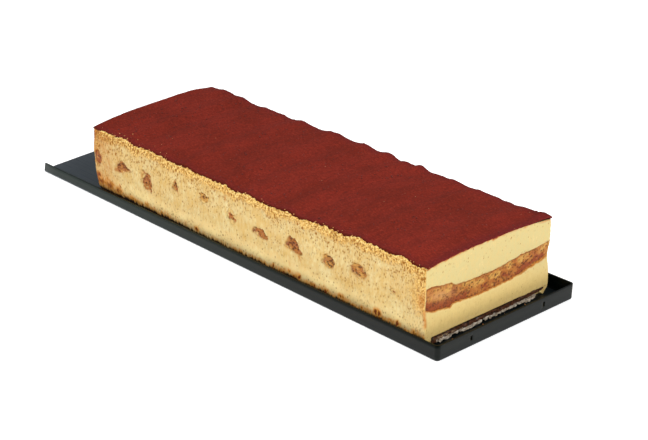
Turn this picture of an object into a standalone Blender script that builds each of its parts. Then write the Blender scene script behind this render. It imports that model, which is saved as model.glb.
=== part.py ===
"""Tiramisu bar on its serving tray.

A long catering tiramisu: a thin biscuit base under a chocolate film, a lower cream, twelve
soaked ladyfingers laid across the bar, an upper cream and a dusting of cocoa. Both ends are
knife cuts, each through a ladyfinger, and the ends of the other fingers show along both sides.
The bar stands on a shallow plastic tray that has a rim on three sides and is open at one end.

Run it with: blender --background --python part.py

Units are metres, +Z is up. The origin is the middle of the tray's underside. +X runs along the
bar towards the tray's closed end, and -Y is the bar's front side.
"""

import math
import random

import bmesh
import bpy

MM = 0.001
SEED = 7
FIT_GAP = 0.3 * MM  # air left between pieces that touch

# Tray
TRAY_LENGTH = 407.4 * MM
TRAY_WIDTH = 124.8 * MM
TRAY_WALL = 1.1 * MM
RIM_HIGH = 10.8 * MM  # at the closed end
RIM_LOW = 7.45 * MM  # at the open end
RIM_LEAN = 0.3 * MM  # how far the top of a full-height rim stands out past its foot
RIM_END_SLANT = 2.0 * MM  # the rim's top edge stops this far short of the open end
OPEN_END_SKEW = 6.5 * MM  # the front rim stops this far short of the back one
# The floor's edge at the open end: how far short of the back rim, how far from the front side
OPEN_EDGE = ((3.9 * MM, 12.0 * MM), (1.3 * MM, 46.0 * MM))
FLOOR_BEND_RADIUS = 1.4 * MM
CORNER_RADIUS = 3.0 * MM
BEND_STEPS = 4
CORNER_STEPS = 3
SLOT_WIDTH = 1.8 * MM
SLOT_HEIGHT = 3.4 * MM
SLOT_SPACING = 66.0 * MM
SLOT_MIDDLE_HEIGHT = 6.2 * MM

# The bar, in its own frame: x and y from its middle, z from the tray's underside
BAR_LENGTH = 328.5 * MM
BAR_WIDTH = 110.0 * MM
BAR_PLACE = (24.2 * MM, -2.1 * MM, 0.0)
BAR_TURN = math.radians(-0.15)
BAR_FOOT = TRAY_WALL + FIT_GAP

# Top surface of the cocoa
FRONT_EDGE_LOW = 49.6 * MM
FRONT_EDGE_RISE = 4.8 * MM
FRONT_RISE_START = 10.0 * MM
FRONT_RISE_LENGTH = 120.0 * MM
BACK_EDGE_HEIGHT = 53.4 * MM
CROWN_HEIGHT = 3.0 * MM
CROWN_POWER = 2.8
RIPPLES = ((0.55 * MM, 34.0 * MM, 0.6), (0.35 * MM, 21.0 * MM, 2.1))  # height, length, phase
CORNER_DROOP = 1.5 * MM
CORNER_DROOP_REACH = 12.0 * MM

# Sides of the bar
BAND_PINCH = 1.2 * MM  # the sides draw in at the ladyfingers
BAND_PINCH_REACH = 7.0 * MM
FOOT_TUCK = 1.6 * MM
FOOT_TUCK_REACH = 3.5 * MM
BACK_FLARE = 2.2 * MM  # the back side swells towards the closed end
BACK_FLARE_LENGTH = 70.0 * MM
END_BULGE = 0.8 * MM
LEFT_TUCK = 3.4 * MM  # the end over the first finger draws in towards its foot
LEFT_TUCK_TOP = 20.0 * MM
LEFT_TUCK_REACH = 17.0 * MM

# Layers under the cream
BASE_THICKNESS = 2.4 * MM
FILM_THICKNESS = 2.9 * MM
BASE_FRONT_INSET = 8.5 * MM
BASE_BACK_INSET = 8.0 * MM
FILM_FRONT_INSET = 6.2 * MM
FILM_BACK_INSET = 2.6 * MM
BASE_RAGGEDNESS = 0.9 * MM
FILM_RAGGEDNESS = 0.5 * MM

COCOA_THICKNESS = 0.9 * MM

# Ladyfingers
FINGER_PITCH = 29.8 * MM
FINGER_FIRST_X = -160.1 * MM
FINGER_WIDTH = 26.0 * MM
FINGER_HEIGHT = 12.0 * MM
FINGER_MIDDLE_HEIGHT = 28.0 * MM
FINGER_SQUARENESS = 2.5  # exponent of the cross-section: 2 is an ellipse
FINGER_TAPER = 4.0  # how late each finger narrows towards its ends
FINGER_SAG_POWER = 2.0
RING_POINTS = 12
STATION_STEPS = 4  # sections from the middle of a finger to each end
CUTTER_OVERRUN = 8.0 * MM

# Each finger's end at the front side: sideways shift, width, lowest and highest point, in mm
FRONT_ENDS = (
    (-1.0, 10.5, 22.7, 34.5),
    (-3.3, 18.0, 22.8, 33.2),
    (-3.5, 13.8, 18.5, 33.0),
    (-0.3, 8.0, 26.5, 37.0),
    (-0.6, 10.7, 29.0, 36.6),
    (-0.5, 8.5, 25.3, 36.1),
    (-3.8, 15.0, 23.1, 31.5),
    (0.1, 13.8, 24.1, 35.7),
    (2.7, 12.8, 25.4, 35.0),
    (0.4, 15.0, 28.0, 38.5),
    (0.2, 6.0, 28.0, 33.5),
    (0.0, 16.0, 25.7, 41.2),
)
BACK_END_CUT_FINGER = (0.0, 16.0, 28.0, 37.7)  # the finger that the closed-end cut runs through

# Where the two creams meet
SEAM_HEIGHT = 28.0 * MM
SEAM_RISE = 2.2 * MM

# Mesh density, in cells
TOP_CELLS = (34, 8)
LOWER_CELLS = (12, 6)
SLAB_CELLS = (16, 6)
SIDE_CELLS = 4


def clear_scene():
    for old in list(bpy.data.objects):
        bpy.data.objects.remove(old, do_unlink=True)


def new_collection(name):
    collection = bpy.data.collections.new(name)
    bpy.context.scene.collection.children.link(collection)
    return collection


def principled(name, srgb, roughness):
    """A plain material from a colour given as red, green and blue, 0 to 255."""
    material = bpy.data.materials.new(name)
    material.use_nodes = True
    shader = material.node_tree.nodes["Principled BSDF"]
    linear = [((c / 255 + 0.055) / 1.055) ** 2.4 for c in srgb]
    shader.inputs["Base Color"].default_value = (*linear, 1.0)
    shader.inputs["Roughness"].default_value = roughness
    shader.inputs["Metallic"].default_value = 0.0
    return material


def add_object(name, mesh_data, collection, material=None, parent=None):
    """Turns a bmesh into a named object, frees the bmesh and returns the object."""
    bmesh.ops.recalc_face_normals(mesh_data, faces=mesh_data.faces)
    mesh = bpy.data.meshes.new(name)
    mesh_data.to_mesh(mesh)
    mesh_data.free()
    if material:
        mesh.materials.append(material)
    made = bpy.data.objects.new(name, mesh)
    made.parent = parent
    collection.objects.link(made)
    return made


def as_cutter(obj):
    obj.hide_render = True
    obj.display_type = "WIRE"
    return obj


def cut(obj, cutters, name):
    """Takes every object of the collection `cutters` out of obj."""
    modifier = obj.modifiers.new(name, "BOOLEAN")
    modifier.operation = "DIFFERENCE"
    modifier.operand_type = "COLLECTION"
    modifier.solver = "EXACT"
    modifier.collection = cutters


def smoothstep(t):
    t = min(max(t, 0.0), 1.0)
    return t * t * (3.0 - 2.0 * t)


# --- The bar's outer surfaces -------------------------------------------------------------


def top_height(x, y):
    """Height of the cocoa's surface above the tray's underside."""
    rise = smoothstep((x - FRONT_RISE_START) / FRONT_RISE_LENGTH)
    front = FRONT_EDGE_LOW + FRONT_EDGE_RISE * rise
    across = y / BAR_WIDTH + 0.5
    edge_to_edge = front + (BACK_EDGE_HEIGHT - front) * across
    crown = CROWN_HEIGHT * (1.0 - min(abs(2.0 * y / BAR_WIDTH), 1.0) ** CROWN_POWER)
    ripple = sum(
        height * math.sin(2.0 * math.pi * x / length + phase)
        for height, length, phase in RIPPLES
    )
    to_corner = math.hypot(x + BAR_LENGTH / 2, y - BAR_WIDTH / 2)
    droop = CORNER_DROOP * math.exp(-((to_corner / CORNER_DROOP_REACH) ** 2))
    return edge_to_edge + crown + ripple - droop


def seam_height(y):
    """Height at which the lower and the upper cream meet."""
    return SEAM_HEIGHT + SEAM_RISE * (2.0 * y / BAR_WIDTH) ** 2


def bar_point(u, v, z):
    """Plan position for u along and v across, each from -1 to 1, at height z."""
    pinch = BAND_PINCH * math.exp(-(((z - SEAM_HEIGHT) / BAND_PINCH_REACH) ** 2))
    tuck = FOOT_TUCK * math.exp(-(((z - BAR_FOOT) / FOOT_TUCK_REACH) ** 2))
    drawn_in = END_BULGE * pinch / BAND_PINCH
    if u < 0:
        drawn_in += LEFT_TUCK * smoothstep((LEFT_TUCK_TOP - z) / LEFT_TUCK_REACH)
    x = u * (BAR_LENGTH / 2 - tuck - drawn_in)
    half = BAR_WIDTH / 2 - tuck
    if v > 0:
        swell = smoothstep((x - BAR_LENGTH / 2 + BACK_FLARE_LENGTH) / BACK_FLARE_LENGTH)
        half += (BACK_FLARE - pinch) * swell
    return x, v * half


# --- Slabs --------------------------------------------------------------------------------


def celled_block(cells):
    """A cube from -1 to 1 with loop cuts that part it into cells[0] x cells[1] x cells[2]."""
    block = bmesh.new()
    bmesh.ops.create_cube(block, size=2.0)
    for axis, count in enumerate(cells):
        normal = [0.0, 0.0, 0.0]
        normal[axis] = 1.0
        for step in range(1, count):
            place = [0.0, 0.0, 0.0]
            place[axis] = 2.0 * step / count - 1.0
            geometry = block.verts[:] + block.edges[:] + block.faces[:]
            bmesh.ops.bisect_plane(block, geom=geometry, plane_co=place, plane_no=normal)
    return block


def cream_slab(cells, low, high):
    """A block of the bar between two height functions of x and y."""
    slab = celled_block(cells)
    for vertex in slab.verts:
        u, v, w = vertex.co
        across = v * BAR_WIDTH / 2
        along = u * BAR_LENGTH / 2
        bottom, top = low(along, across), high(along, across)
        z = bottom + (top - bottom) * (w + 1.0) / 2.0
        vertex.co = (*bar_point(u, v, z), z)
    # The same diagonals on both sides of a gap keep it even.
    bmesh.ops.triangulate(slab, faces=slab.faces, quad_method="SHORT_EDGE")
    return slab


def ragged_slab(bottom, top, front, back, raggedness, seed):
    """A thin layer that runs the bar's length, with its edges worn unevenly."""
    wear = random.Random(seed)
    slab = celled_block((*SLAB_CELLS, 1))
    worn = {}
    for vertex in slab.verts:
        u, v, w = vertex.co
        key = (round(u, 4), round(v, 4))
        if key not in worn:
            worn[key] = (wear.uniform(0.0, raggedness), wear.uniform(0.0, raggedness))
        end_wear, side_wear = worn[key]
        x = u * (BAR_LENGTH / 2 - FOOT_TUCK - (LEFT_TUCK if u < 0 else 0.0))
        y = front + (back - front) * (v + 1.0) / 2.0
        if abs(u) > 0.999:
            x -= math.copysign(end_wear, u)
        if abs(v) > 0.999:
            y -= math.copysign(side_wear, v)
        vertex.co = (x, y, bottom if w < 0 else top)
    return slab


# --- Ladyfingers --------------------------------------------------------------------------


def finger_sections(index):
    """The (y, x, z, half width, half height) of each section of one finger, front to back."""
    chance = random.Random(SEED + index)
    front = FRONT_ENDS[index]
    back = (
        chance.uniform(-2.5, 2.5),
        chance.uniform(11.0, 17.0),
        chance.uniform(22.5, 25.5),
        chance.uniform(33.0, 36.5),
    )
    if index == len(FRONT_ENDS) - 1:
        back = BACK_END_CUT_FINGER
    middle_x = FINGER_FIRST_X + index * FINGER_PITCH
    sections = []
    for step in range(-STATION_STEPS, STATION_STEPS + 1):
        reach = math.sin(0.5 * math.pi * step / STATION_STEPS)
        shift, width, low, high = (value * MM for value in (front if reach < 0 else back))
        full = math.sqrt(max(0.0, 1.0 - abs(reach) ** FINGER_TAPER))
        bend = abs(reach) ** FINGER_SAG_POWER
        sections.append(
            (
                reach * BAR_WIDTH / 2,
                middle_x + shift * bend,
                FINGER_MIDDLE_HEIGHT + ((low + high) / 2 - FINGER_MIDDLE_HEIGHT) * bend,
                (width + (FINGER_WIDTH - width) * full) / 2,
                (high - low + (FINGER_HEIGHT - high + low) * full) / 2,
            )
        )
    return sections


def finger_solid(sections, grow=0.0):
    """Lofts closed rounded sections, each grown and moved outwards by `grow`, into one solid."""
    solid = bmesh.new()
    rings = []
    for y, x, z, half_width, half_height in sections:
        y += math.copysign(grow, y)
        ring = []
        for point in range(RING_POINTS):
            angle = 2.0 * math.pi * (point + 0.5) / RING_POINTS
            c, s = math.cos(angle), math.sin(angle)
            across = math.copysign(abs(c) ** (2.0 / FINGER_SQUARENESS), c)
            up = math.copysign(abs(s) ** (2.0 / FINGER_SQUARENESS), s)
            place = (x + across * (half_width + grow), y, z + up * (half_height + grow))
            ring.append(solid.verts.new(place))
        rings.append(ring)
    for near, far in zip(rings, rings[1:]):
        for point in range(RING_POINTS):
            other = (point + 1) % RING_POINTS
            solid.faces.new((near[point], near[other], far[other]))
            solid.faces.new((near[point], far[other], far[point]))
    solid.faces.new(rings[0])
    solid.faces.new(rings[-1])
    return solid


def overrun(sections):
    """The same sections, carried straight on past both sides of the bar."""
    first, last = sections[0], sections[-1]
    before = (first[0] - CUTTER_OVERRUN, *first[1:])
    after = (last[0] + CUTTER_OVERRUN, *last[1:])
    return [before, *sections, after]


def cut_at_end(solid, side):
    """Slices a finger with the knife cut of the bar's end: side is 1 or -1."""
    plane = side * (BAR_LENGTH / 2 - END_BULGE)
    geometry = solid.verts[:] + solid.edges[:] + solid.faces[:]
    cut_through = bmesh.ops.bisect_plane(
        solid,
        geom=geometry,
        plane_co=(plane, 0.0, 0.0),
        plane_no=(side, 0.0, 0.0),
        clear_outer=True,
    )
    edges = [e for e in cut_through["geom_cut"] if isinstance(e, bmesh.types.BMEdge)]
    bmesh.ops.holes_fill(solid, edges=edges)


def add_ladyfingers(parts, pockets, bar, material):
    """Twelve fingers laid across the bar, and the cutters for the pockets they lie in."""
    last = len(FRONT_ENDS) - 1
    for index in range(last + 1):
        sections = finger_sections(index)
        solid = finger_solid(sections)
        if index == 0:
            cut_at_end(solid, -1)
        if index == last:
            cut_at_end(solid, 1)
        finger = add_object(f"ladyfinger_{index + 1:02d}", solid, parts, material, bar)
        finger.data.shade_smooth()
        pocket = finger_solid(overrun(sections), FIT_GAP)
        as_cutter(add_object(f"pocket_{index + 1:02d}", pocket, pockets, parent=bar))


# --- Creams, cocoa and base ---------------------------------------------------------------


def add_creams(parts, pockets, recess, bar, material):
    lower = cream_slab(
        (*LOWER_CELLS, SIDE_CELLS),
        lambda x, y: BAR_FOOT,
        lambda x, y: seam_height(y) - FIT_GAP / 2,
    )
    upper = cream_slab(
        (*TOP_CELLS, SIDE_CELLS),
        lambda x, y: seam_height(y) + FIT_GAP / 2,
        lambda x, y: top_height(x, y) - COCOA_THICKNESS - FIT_GAP,
    )
    lower = add_object("lower_cream", lower, parts, material, bar)
    upper = add_object("upper_cream", upper, parts, material, bar)
    cut(lower, recess, "base_recess")
    for cream in (lower, upper):
        cut(cream, pockets, "finger_pockets")


def add_cocoa(parts, bar, material):
    slab = cream_slab(
        (*TOP_CELLS, 1),
        lambda x, y: top_height(x, y) - COCOA_THICKNESS,
        top_height,
    )
    cocoa = add_object("cocoa_layer", slab, parts, material, bar)
    cocoa.data.shade_smooth()
    cocoa.data.set_sharp_from_angle(angle=math.radians(40))


def add_base(parts, recess, bar, biscuit, chocolate):
    """The biscuit and the chocolate film, and the cutter for the cream's hollow over them."""
    base_top = BAR_FOOT + BASE_THICKNESS
    film_bottom = base_top + FIT_GAP
    film_top = film_bottom + FILM_THICKNESS
    half = BAR_WIDTH / 2
    base_insets = (BASE_FRONT_INSET, BASE_BACK_INSET)
    film_insets = (FILM_FRONT_INSET, FILM_BACK_INSET)
    layers = (
        ("base_biscuit", BAR_FOOT, base_top, base_insets, BASE_RAGGEDNESS, biscuit),
        ("chocolate_film", film_bottom, film_top, film_insets, FILM_RAGGEDNESS, chocolate),
    )
    for seed, (name, bottom, top, (front, back), raggedness, material) in enumerate(layers):
        slab = ragged_slab(bottom, top, front - half, half - back, raggedness, SEED + seed)
        add_object(name, slab, parts, material, bar)
        hollow = bmesh.new()
        bmesh.ops.create_cube(hollow, size=1.0)
        width = BAR_WIDTH - front - back + 2.0 * FIT_GAP
        low = bottom - FIT_GAP - (CUTTER_OVERRUN if name == "base_biscuit" else 0.0)
        high = top + FIT_GAP
        size = (BAR_LENGTH + CUTTER_OVERRUN, width, high - low)
        bmesh.ops.scale(hollow, vec=size, verts=hollow.verts)
        middle = (0.0, (front - back) / 2.0, (low + high) / 2.0)
        bmesh.ops.translate(hollow, vec=middle, verts=hollow.verts)
        as_cutter(add_object(f"{name}_hollow", hollow, recess, parent=bar))


# --- Tray ---------------------------------------------------------------------------------


def rim_height(x):
    """Height of the rim's top edge, lower towards the open end."""
    return RIM_LOW + (RIM_HIGH - RIM_LOW) * (x / TRAY_LENGTH + 0.5)


def rim_profile(height):
    """(outward, up) from the floor's edge, round the bend, to the rim's top."""
    points = []
    for step in range(BEND_STEPS + 1):
        angle = 0.5 * math.pi * step / BEND_STEPS
        out = FLOOR_BEND_RADIUS * (math.sin(angle) - 1.0)
        points.append((out - RIM_LEAN, FLOOR_BEND_RADIUS * (1.0 - math.cos(angle))))
    points.append((-RIM_LEAN * (1.0 - height / RIM_HIGH), height))
    return points


def rim_stations():
    """(x, y, outward normal) along the tray's three rimmed sides, in plan, from the open end."""
    end, side = TRAY_LENGTH / 2, TRAY_WIDTH / 2
    stations = []
    for share in (0.0, 0.25, 0.5, 0.75):
        x = -end + OPEN_END_SKEW + share * (2.0 * end - CORNER_RADIUS - OPEN_END_SKEW)
        stations.append((x, -side, (0.0, -1.0)))
    for turn, corner_y in ((0, -side + CORNER_RADIUS), (1, side - CORNER_RADIUS)):
        for step in range(CORNER_STEPS + 1):
            angle = 0.5 * math.pi * (step / CORNER_STEPS - 1.0 + turn)
            normal = (math.cos(angle), math.sin(angle))
            x = end - CORNER_RADIUS + CORNER_RADIUS * normal[0]
            stations.append((x, corner_y + CORNER_RADIUS * normal[1], normal))
    for share in (0.75, 0.5, 0.25, 0.0):
        x = -end + share * (2.0 * end - CORNER_RADIUS)
        stations.append((x, side, (0.0, 1.0)))
    return stations


def add_tray(parts, slots, material):
    """The tray's outer skin, given its wall by Solidify, with two slots in the closed end."""
    skin = bmesh.new()
    rows = []
    stations = rim_stations()
    for number, (x, y, normal) in enumerate(stations):
        open_end = number in (0, len(stations) - 1)
        profile = rim_profile(rim_height(x))
        row = []
        for out, up in profile:
            slant = RIM_END_SLANT * up / profile[-1][1] if open_end else 0.0
            row.append(skin.verts.new((x + normal[0] * out + slant, y + normal[1] * out, up)))
        rows.append(row)
    for near, far in zip(rows, rows[1:]):
        for level in range(len(near) - 1):
            skin.faces.new((near[level], far[level], far[level + 1], near[level + 1]))
    open_edge = [
        skin.verts.new((short - TRAY_LENGTH / 2, across - TRAY_WIDTH / 2, 0.0))
        for short, across in OPEN_EDGE
    ]
    skin.faces.new([row[0] for row in reversed(rows)] + open_edge)
    tray = add_object("tray", skin, parts, material)
    wall = tray.modifiers.new("wall", "SOLIDIFY")
    wall.thickness = TRAY_WALL
    wall.offset = -1.0
    wall.use_even_offset = True
    for side in (-1, 1):
        slot = bmesh.new()
        bmesh.ops.create_cube(slot, size=1.0)
        bmesh.ops.scale(slot, vec=(4.0 * TRAY_WALL, SLOT_WIDTH, SLOT_HEIGHT), verts=slot.verts)
        cutter = as_cutter(add_object(f"slot_{side}", slot, slots))
        cutter.location = (
            TRAY_LENGTH / 2 - TRAY_WALL,
            side * SLOT_SPACING / 2,
            SLOT_MIDDLE_HEIGHT,
        )
    cut(tray, slots, "slots")
    tray.data.shade_smooth()
    tray.data.set_sharp_from_angle(angle=math.radians(30))


def main():
    clear_scene()
    parts = new_collection("tiramisu_bar")
    pockets = new_collection("pocket_cutters")
    recess = new_collection("recess_cutters")
    slots = new_collection("slot_cutters")

    black_plastic = principled("black_plastic", (38, 42, 42), 0.25)
    biscuit = principled("base_biscuit", (186, 165, 140), 0.85)
    chocolate = principled("chocolate", (62, 32, 14), 0.55)
    cream = principled("cream", (233, 209, 143), 0.6)
    sponge = principled("soaked_ladyfinger", (196, 124, 72), 0.8)
    cocoa = principled("cocoa", (128, 44, 37), 0.95)

    bar = bpy.data.objects.new("bar", None)
    bar.location = BAR_PLACE
    bar.rotation_euler = (0.0, 0.0, BAR_TURN)
    parts.objects.link(bar)

    add_tray(parts, slots, black_plastic)
    add_base(parts, recess, bar, biscuit, chocolate)
    add_ladyfingers(parts, pockets, bar, sponge)
    add_creams(parts, pockets, recess, bar, cream)
    add_cocoa(parts, bar, cocoa)


main()
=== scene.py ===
"""Looks of the tiramisu bar on its serving tray.

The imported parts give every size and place. This script dresses them: rough cream sides full of
pores, knife-cut ends, soaked ladyfingers, a dusting of cocoa, the broken biscuit base and the
glossy tray.

Lengths in the classes are millimetres. The bar's own frame has x and y from its middle and z
from the tray's underside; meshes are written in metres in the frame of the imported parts.
"""

import logging
import math
import random
from dataclasses import dataclass
from enum import Enum
from typing import Callable, Sequence

import bmesh
import bpy
import numpy as np
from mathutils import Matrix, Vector


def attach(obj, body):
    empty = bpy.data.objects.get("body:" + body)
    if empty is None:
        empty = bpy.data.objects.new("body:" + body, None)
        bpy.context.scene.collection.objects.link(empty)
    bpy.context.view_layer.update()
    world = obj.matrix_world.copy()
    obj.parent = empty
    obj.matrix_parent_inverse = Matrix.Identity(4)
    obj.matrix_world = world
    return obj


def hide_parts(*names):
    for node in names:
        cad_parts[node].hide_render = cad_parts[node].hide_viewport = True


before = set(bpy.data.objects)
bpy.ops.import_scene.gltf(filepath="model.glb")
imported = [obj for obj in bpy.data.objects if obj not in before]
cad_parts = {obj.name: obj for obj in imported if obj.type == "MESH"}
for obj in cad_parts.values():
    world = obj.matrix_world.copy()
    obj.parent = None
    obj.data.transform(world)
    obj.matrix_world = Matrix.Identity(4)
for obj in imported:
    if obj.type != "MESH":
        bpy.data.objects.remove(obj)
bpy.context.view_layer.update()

log = logging.getLogger("tiramisu")

MM = 0.001
BODY = "root"
Array = np.ndarray
Colour = tuple[int, int, int]


# --- Numbers ------------------------------------------------------------------------------


def smooth(t: Array | float) -> Array:
    """Eased step from 0 to 1 as t goes from 0 to 1."""
    t = np.clip(t, 0.0, 1.0)
    return t * t * (3.0 - 2.0 * t)


def fade(value: Array | float, start: float, end: float) -> Array:
    """Eased step from 0 at start to 1 at end; start may be above end."""
    return smooth((value - start) / (end - start))


def bell(distance: Array | float, reach: float) -> Array:
    """Gaussian falloff that is 1 at distance 0."""
    return np.exp(-((distance / reach) ** 2))


class Grain:
    """Seeded smooth noise and cell patterns over any coordinates."""

    PRIMES = (0x9E3779B1, 0x85EBCA77, 0xC2B2AE3D)

    def __init__(self, seed: int) -> None:
        """Args:
            seed: picks one pattern out of many.
        """
        self.seed = np.uint64(seed * 7919 + 17)

    def chance(self, *cells: Array) -> Array:
        """One number from 0 to 1 for each integer lattice cell.

        Args:
            cells: integer coordinates, one array per axis.

        Returns:
            Evenly spread numbers, the same for the same cell.
        """
        mask = np.uint64(0xFFFFFFFF)
        mixed = np.full(np.broadcast(*cells).shape, self.seed, np.uint64)
        for cell, prime in zip(cells, self.PRIMES):
            whole = np.asarray(cell, np.int64).astype(np.uint64) & mask
            mixed = (mixed ^ (whole * np.uint64(prime) & mask)) * np.uint64(0x2C1B3C6D) & mask
            mixed ^= mixed >> np.uint64(15)
            mixed = mixed * np.uint64(0x297A2D39) & mask
            mixed ^= mixed >> np.uint64(13)
        return mixed.astype(np.float64) / float(mask)

    def swell(self, *coords: Array | float) -> Array:
        """Smooth noise from -1 to 1 that changes over a length of 1 in each coordinate."""
        coords = np.broadcast_arrays(*[np.asarray(c, float) for c in coords])
        low = [np.floor(c) for c in coords]
        part = [smooth(c - base) for c, base in zip(coords, low)]
        total = np.zeros(coords[0].shape)
        for corner in range(2 ** len(coords)):
            weight = np.ones(coords[0].shape)
            cells = []
            for axis, (base, share) in enumerate(zip(low, part)):
                far = corner >> axis & 1
                weight = weight * (share if far else 1.0 - share)
                cells.append(base + far)
            total += weight * self.chance(*cells)
        return total * 2.0 - 1.0

    def rough(self, *coords: Array | float, layers: int = 3) -> Array:
        """Several layers of smooth noise, each half as strong and twice as fine."""
        total = sum(
            self.swell(*[c * 2.0**layer + 31.7 * layer for c in coords]) * 0.5**layer
            for layer in range(layers)
        )
        return total / (2.0 - 0.5 ** (layers - 1))

    def cells(self, a: Array, b: Array) -> tuple[Array, Array]:
        """Cell pattern of unit size.

        Args:
            a: first coordinate.
            b: second coordinate.

        Returns:
            Distance to the nearest cell's middle, and that cell's own number from 0 to 1.
        """
        base_a, base_b = np.floor(a), np.floor(b)
        nearest = np.full(np.broadcast(a, b).shape, 9.0)
        owner = np.zeros(nearest.shape)
        for step_a in (-1, 0, 1):
            for step_b in (-1, 0, 1):
                cell = (base_a + step_a, base_b + step_b)
                place_a = cell[0] + self.chance(cell[0], cell[1], np.zeros(1))
                place_b = cell[1] + self.chance(cell[0], cell[1], np.ones(1))
                distance = np.hypot(a - place_a, b - place_b)
                closer = distance < nearest
                nearest = np.where(closer, distance, nearest)
                owner = np.where(closer, self.chance(*cell, np.full(1, 2.0)), owner)
        return nearest, owner


# --- Meshes -------------------------------------------------------------------------------


class Draft:
    """A mesh being drawn in millimetres: points, faces and numbers kept on the points."""

    def __init__(self) -> None:
        """Starts empty."""
        self.points: list[Array] = []
        self.faces: list[Array] = []
        self.marks: list[dict[str, Array]] = []
        self.count = 0

    def add(self, points: Array, **marks: Array) -> Array:
        """Adds points.

        Args:
            points: any shape ending in 3.
            marks: numbers to keep on the points, each of the points' shape.

        Returns:
            The new points' indices, in the points' shape.
        """
        shape = points.shape[:-1]
        total = int(np.prod(shape))
        self.points.append(points.reshape(-1, 3))
        flat = {name: np.broadcast_to(mark, shape).reshape(-1) for name, mark in marks.items()}
        self.marks.append(flat)
        index = np.arange(self.count, self.count + total).reshape(shape)
        self.count += total
        return index

    def skin(self, near: Array, far: Array, closed: bool = False) -> None:
        """Quads between two rows of the same number of points; closed joins the rows' ends."""
        if closed:
            near, far = np.append(near, near[0]), np.append(far, far[0])
        self.faces.append(np.stack([near[:-1], near[1:], far[1:], far[:-1]], -1))

    def sheet(self, grid: Array, closed: bool = False) -> None:
        """Quads over a grid of indices, row by row."""
        for near, far in zip(grid, grid[1:]):
            self.skin(near, far, closed)

    def fans(self, fine: Array, coarse: Array, ratio: int) -> None:
        """Joins a closed fine ring to a coarse ring with one point for every `ratio` of its own."""
        count = len(coarse)
        for step in range(count):
            here, there = coarse[step], coarse[(step + 1) % count]
            run = [fine[(step * ratio + k) % len(fine)] for k in range(ratio + 1)]
            half = ratio // 2
            triangles = [(run[k], run[k + 1], here) for k in range(half)]
            triangles.append((run[half], there, here))
            triangles += [(run[k], run[k + 1], there) for k in range(half, ratio)]
            self.faces.append(np.array(triangles))

    def build(
        self, name: str, place: Callable[[Array], Array], solid: bool = True
    ) -> bpy.types.Object:
        """Makes the object.

        Args:
            name: the object's name.
            place: turns millimetres in the maker's frame into metres in the parts' frame.
            solid: whether the mesh is closed, so that its faces can be turned out.

        Returns:
            The object, its faces shaded smooth and facing out.
        """
        mesh = bpy.data.meshes.new(name)
        points = place(np.concatenate(self.points))
        faces = [row.tolist() for block in self.faces for row in block]
        mesh.from_pydata(points.tolist(), [], faces)
        for mark in sorted({key for marks in self.marks for key in marks}):
            layer = mesh.attributes.new(mark, "FLOAT", "POINT")
            values = [
                marks.get(mark, np.zeros(len(points)))
                for marks, points in zip(self.marks, self.points)
            ]
            layer.data.foreach_set("value", np.concatenate(values).astype(np.float32))
        mesh.validate()
        if solid:
            face_outwards(mesh)
        mesh.shade_smooth()
        mesh.set_sharp_from_angle(angle=math.radians(75.0))
        return place_object(name, mesh)


def place_object(name: str, data: bpy.types.ID) -> bpy.types.Object:
    """Makes an object of a mesh, light or camera and puts it in the scene."""
    made = bpy.data.objects.new(name, data)
    bpy.context.scene.collection.objects.link(made)
    return made


def release(work: bmesh.types.BMesh, name: str) -> bpy.types.Object:
    """Turns a working mesh into an object and frees it."""
    mesh = bpy.data.meshes.new(name)
    work.to_mesh(mesh)
    work.free()
    return place_object(name, mesh)


def face_outwards(mesh: bpy.types.Mesh) -> None:
    """Turns a closed mesh's faces to point out."""
    work = bmesh.new()
    work.from_mesh(mesh)
    bmesh.ops.recalc_face_normals(work, faces=work.faces)
    if work.calc_volume(signed=True) < 0.0:
        bmesh.ops.reverse_faces(work, faces=work.faces)
    work.to_mesh(mesh)
    work.free()


def ring_round(grid: Array) -> Array:
    """The outer ring of a grid of indices, from its first corner along the rows and back."""
    front, right = grid[:-1, 0], grid[-1, :-1]
    back, left = grid[:0:-1, -1], grid[0, :0:-1]
    return np.concatenate([front, right, back, left])


def coarse_cap(
    draft: Draft,
    ring: Array,
    half: tuple[float, float],
    cells: tuple[int, int],
    height: Callable[..., Array],
) -> None:
    """Closes a fine ring with a coarse sheet inside it.

    Args:
        draft: the mesh.
        ring: the ring's indices, from its corner at lowest x and y, along x first.
        half: the sheet's half sizes.
        cells: its cells each way; the ring has a whole number of points for each.
        height: gives the sheet's height from x and y.
    """
    x, y = np.meshgrid(
        np.linspace(-half[0], half[0], cells[0] + 1),
        np.linspace(-half[1], half[1], cells[1] + 1),
        indexing="ij",
    )
    grid = draft.add(np.stack([x, y, height(x, y)], -1))
    draft.sheet(grid)
    inner = ring_round(grid)
    draft.fans(ring, inner, len(ring) // len(inner))


def hand_over(
    piece: bpy.types.Object,
    finish: bpy.types.Material,
    nodes: Sequence[str] = (),
) -> None:
    """Dresses a finished piece and tells the frame what it is.

    Args:
        piece: the object, in its place.
        finish: its material.
        nodes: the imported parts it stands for.
    """
    piece.data.materials.clear()
    piece.data.materials.append(finish)
    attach(piece, BODY)
    if nodes:
        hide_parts(*nodes)
    log.info("%s: %d faces", piece.name, len(piece.data.polygons))


# --- Shader maths -------------------------------------------------------------------------


def linear(colour: Colour) -> tuple[float, float, float, float]:
    """A screen colour, 0 to 255, as the shader's own red, green, blue and alpha."""
    parts = [c / 255 for c in colour]
    parts = [c / 12.92 if c <= 0.04045 else ((c + 0.055) / 1.055) ** 2.4 for c in parts]
    return (*parts, 1.0)


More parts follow.
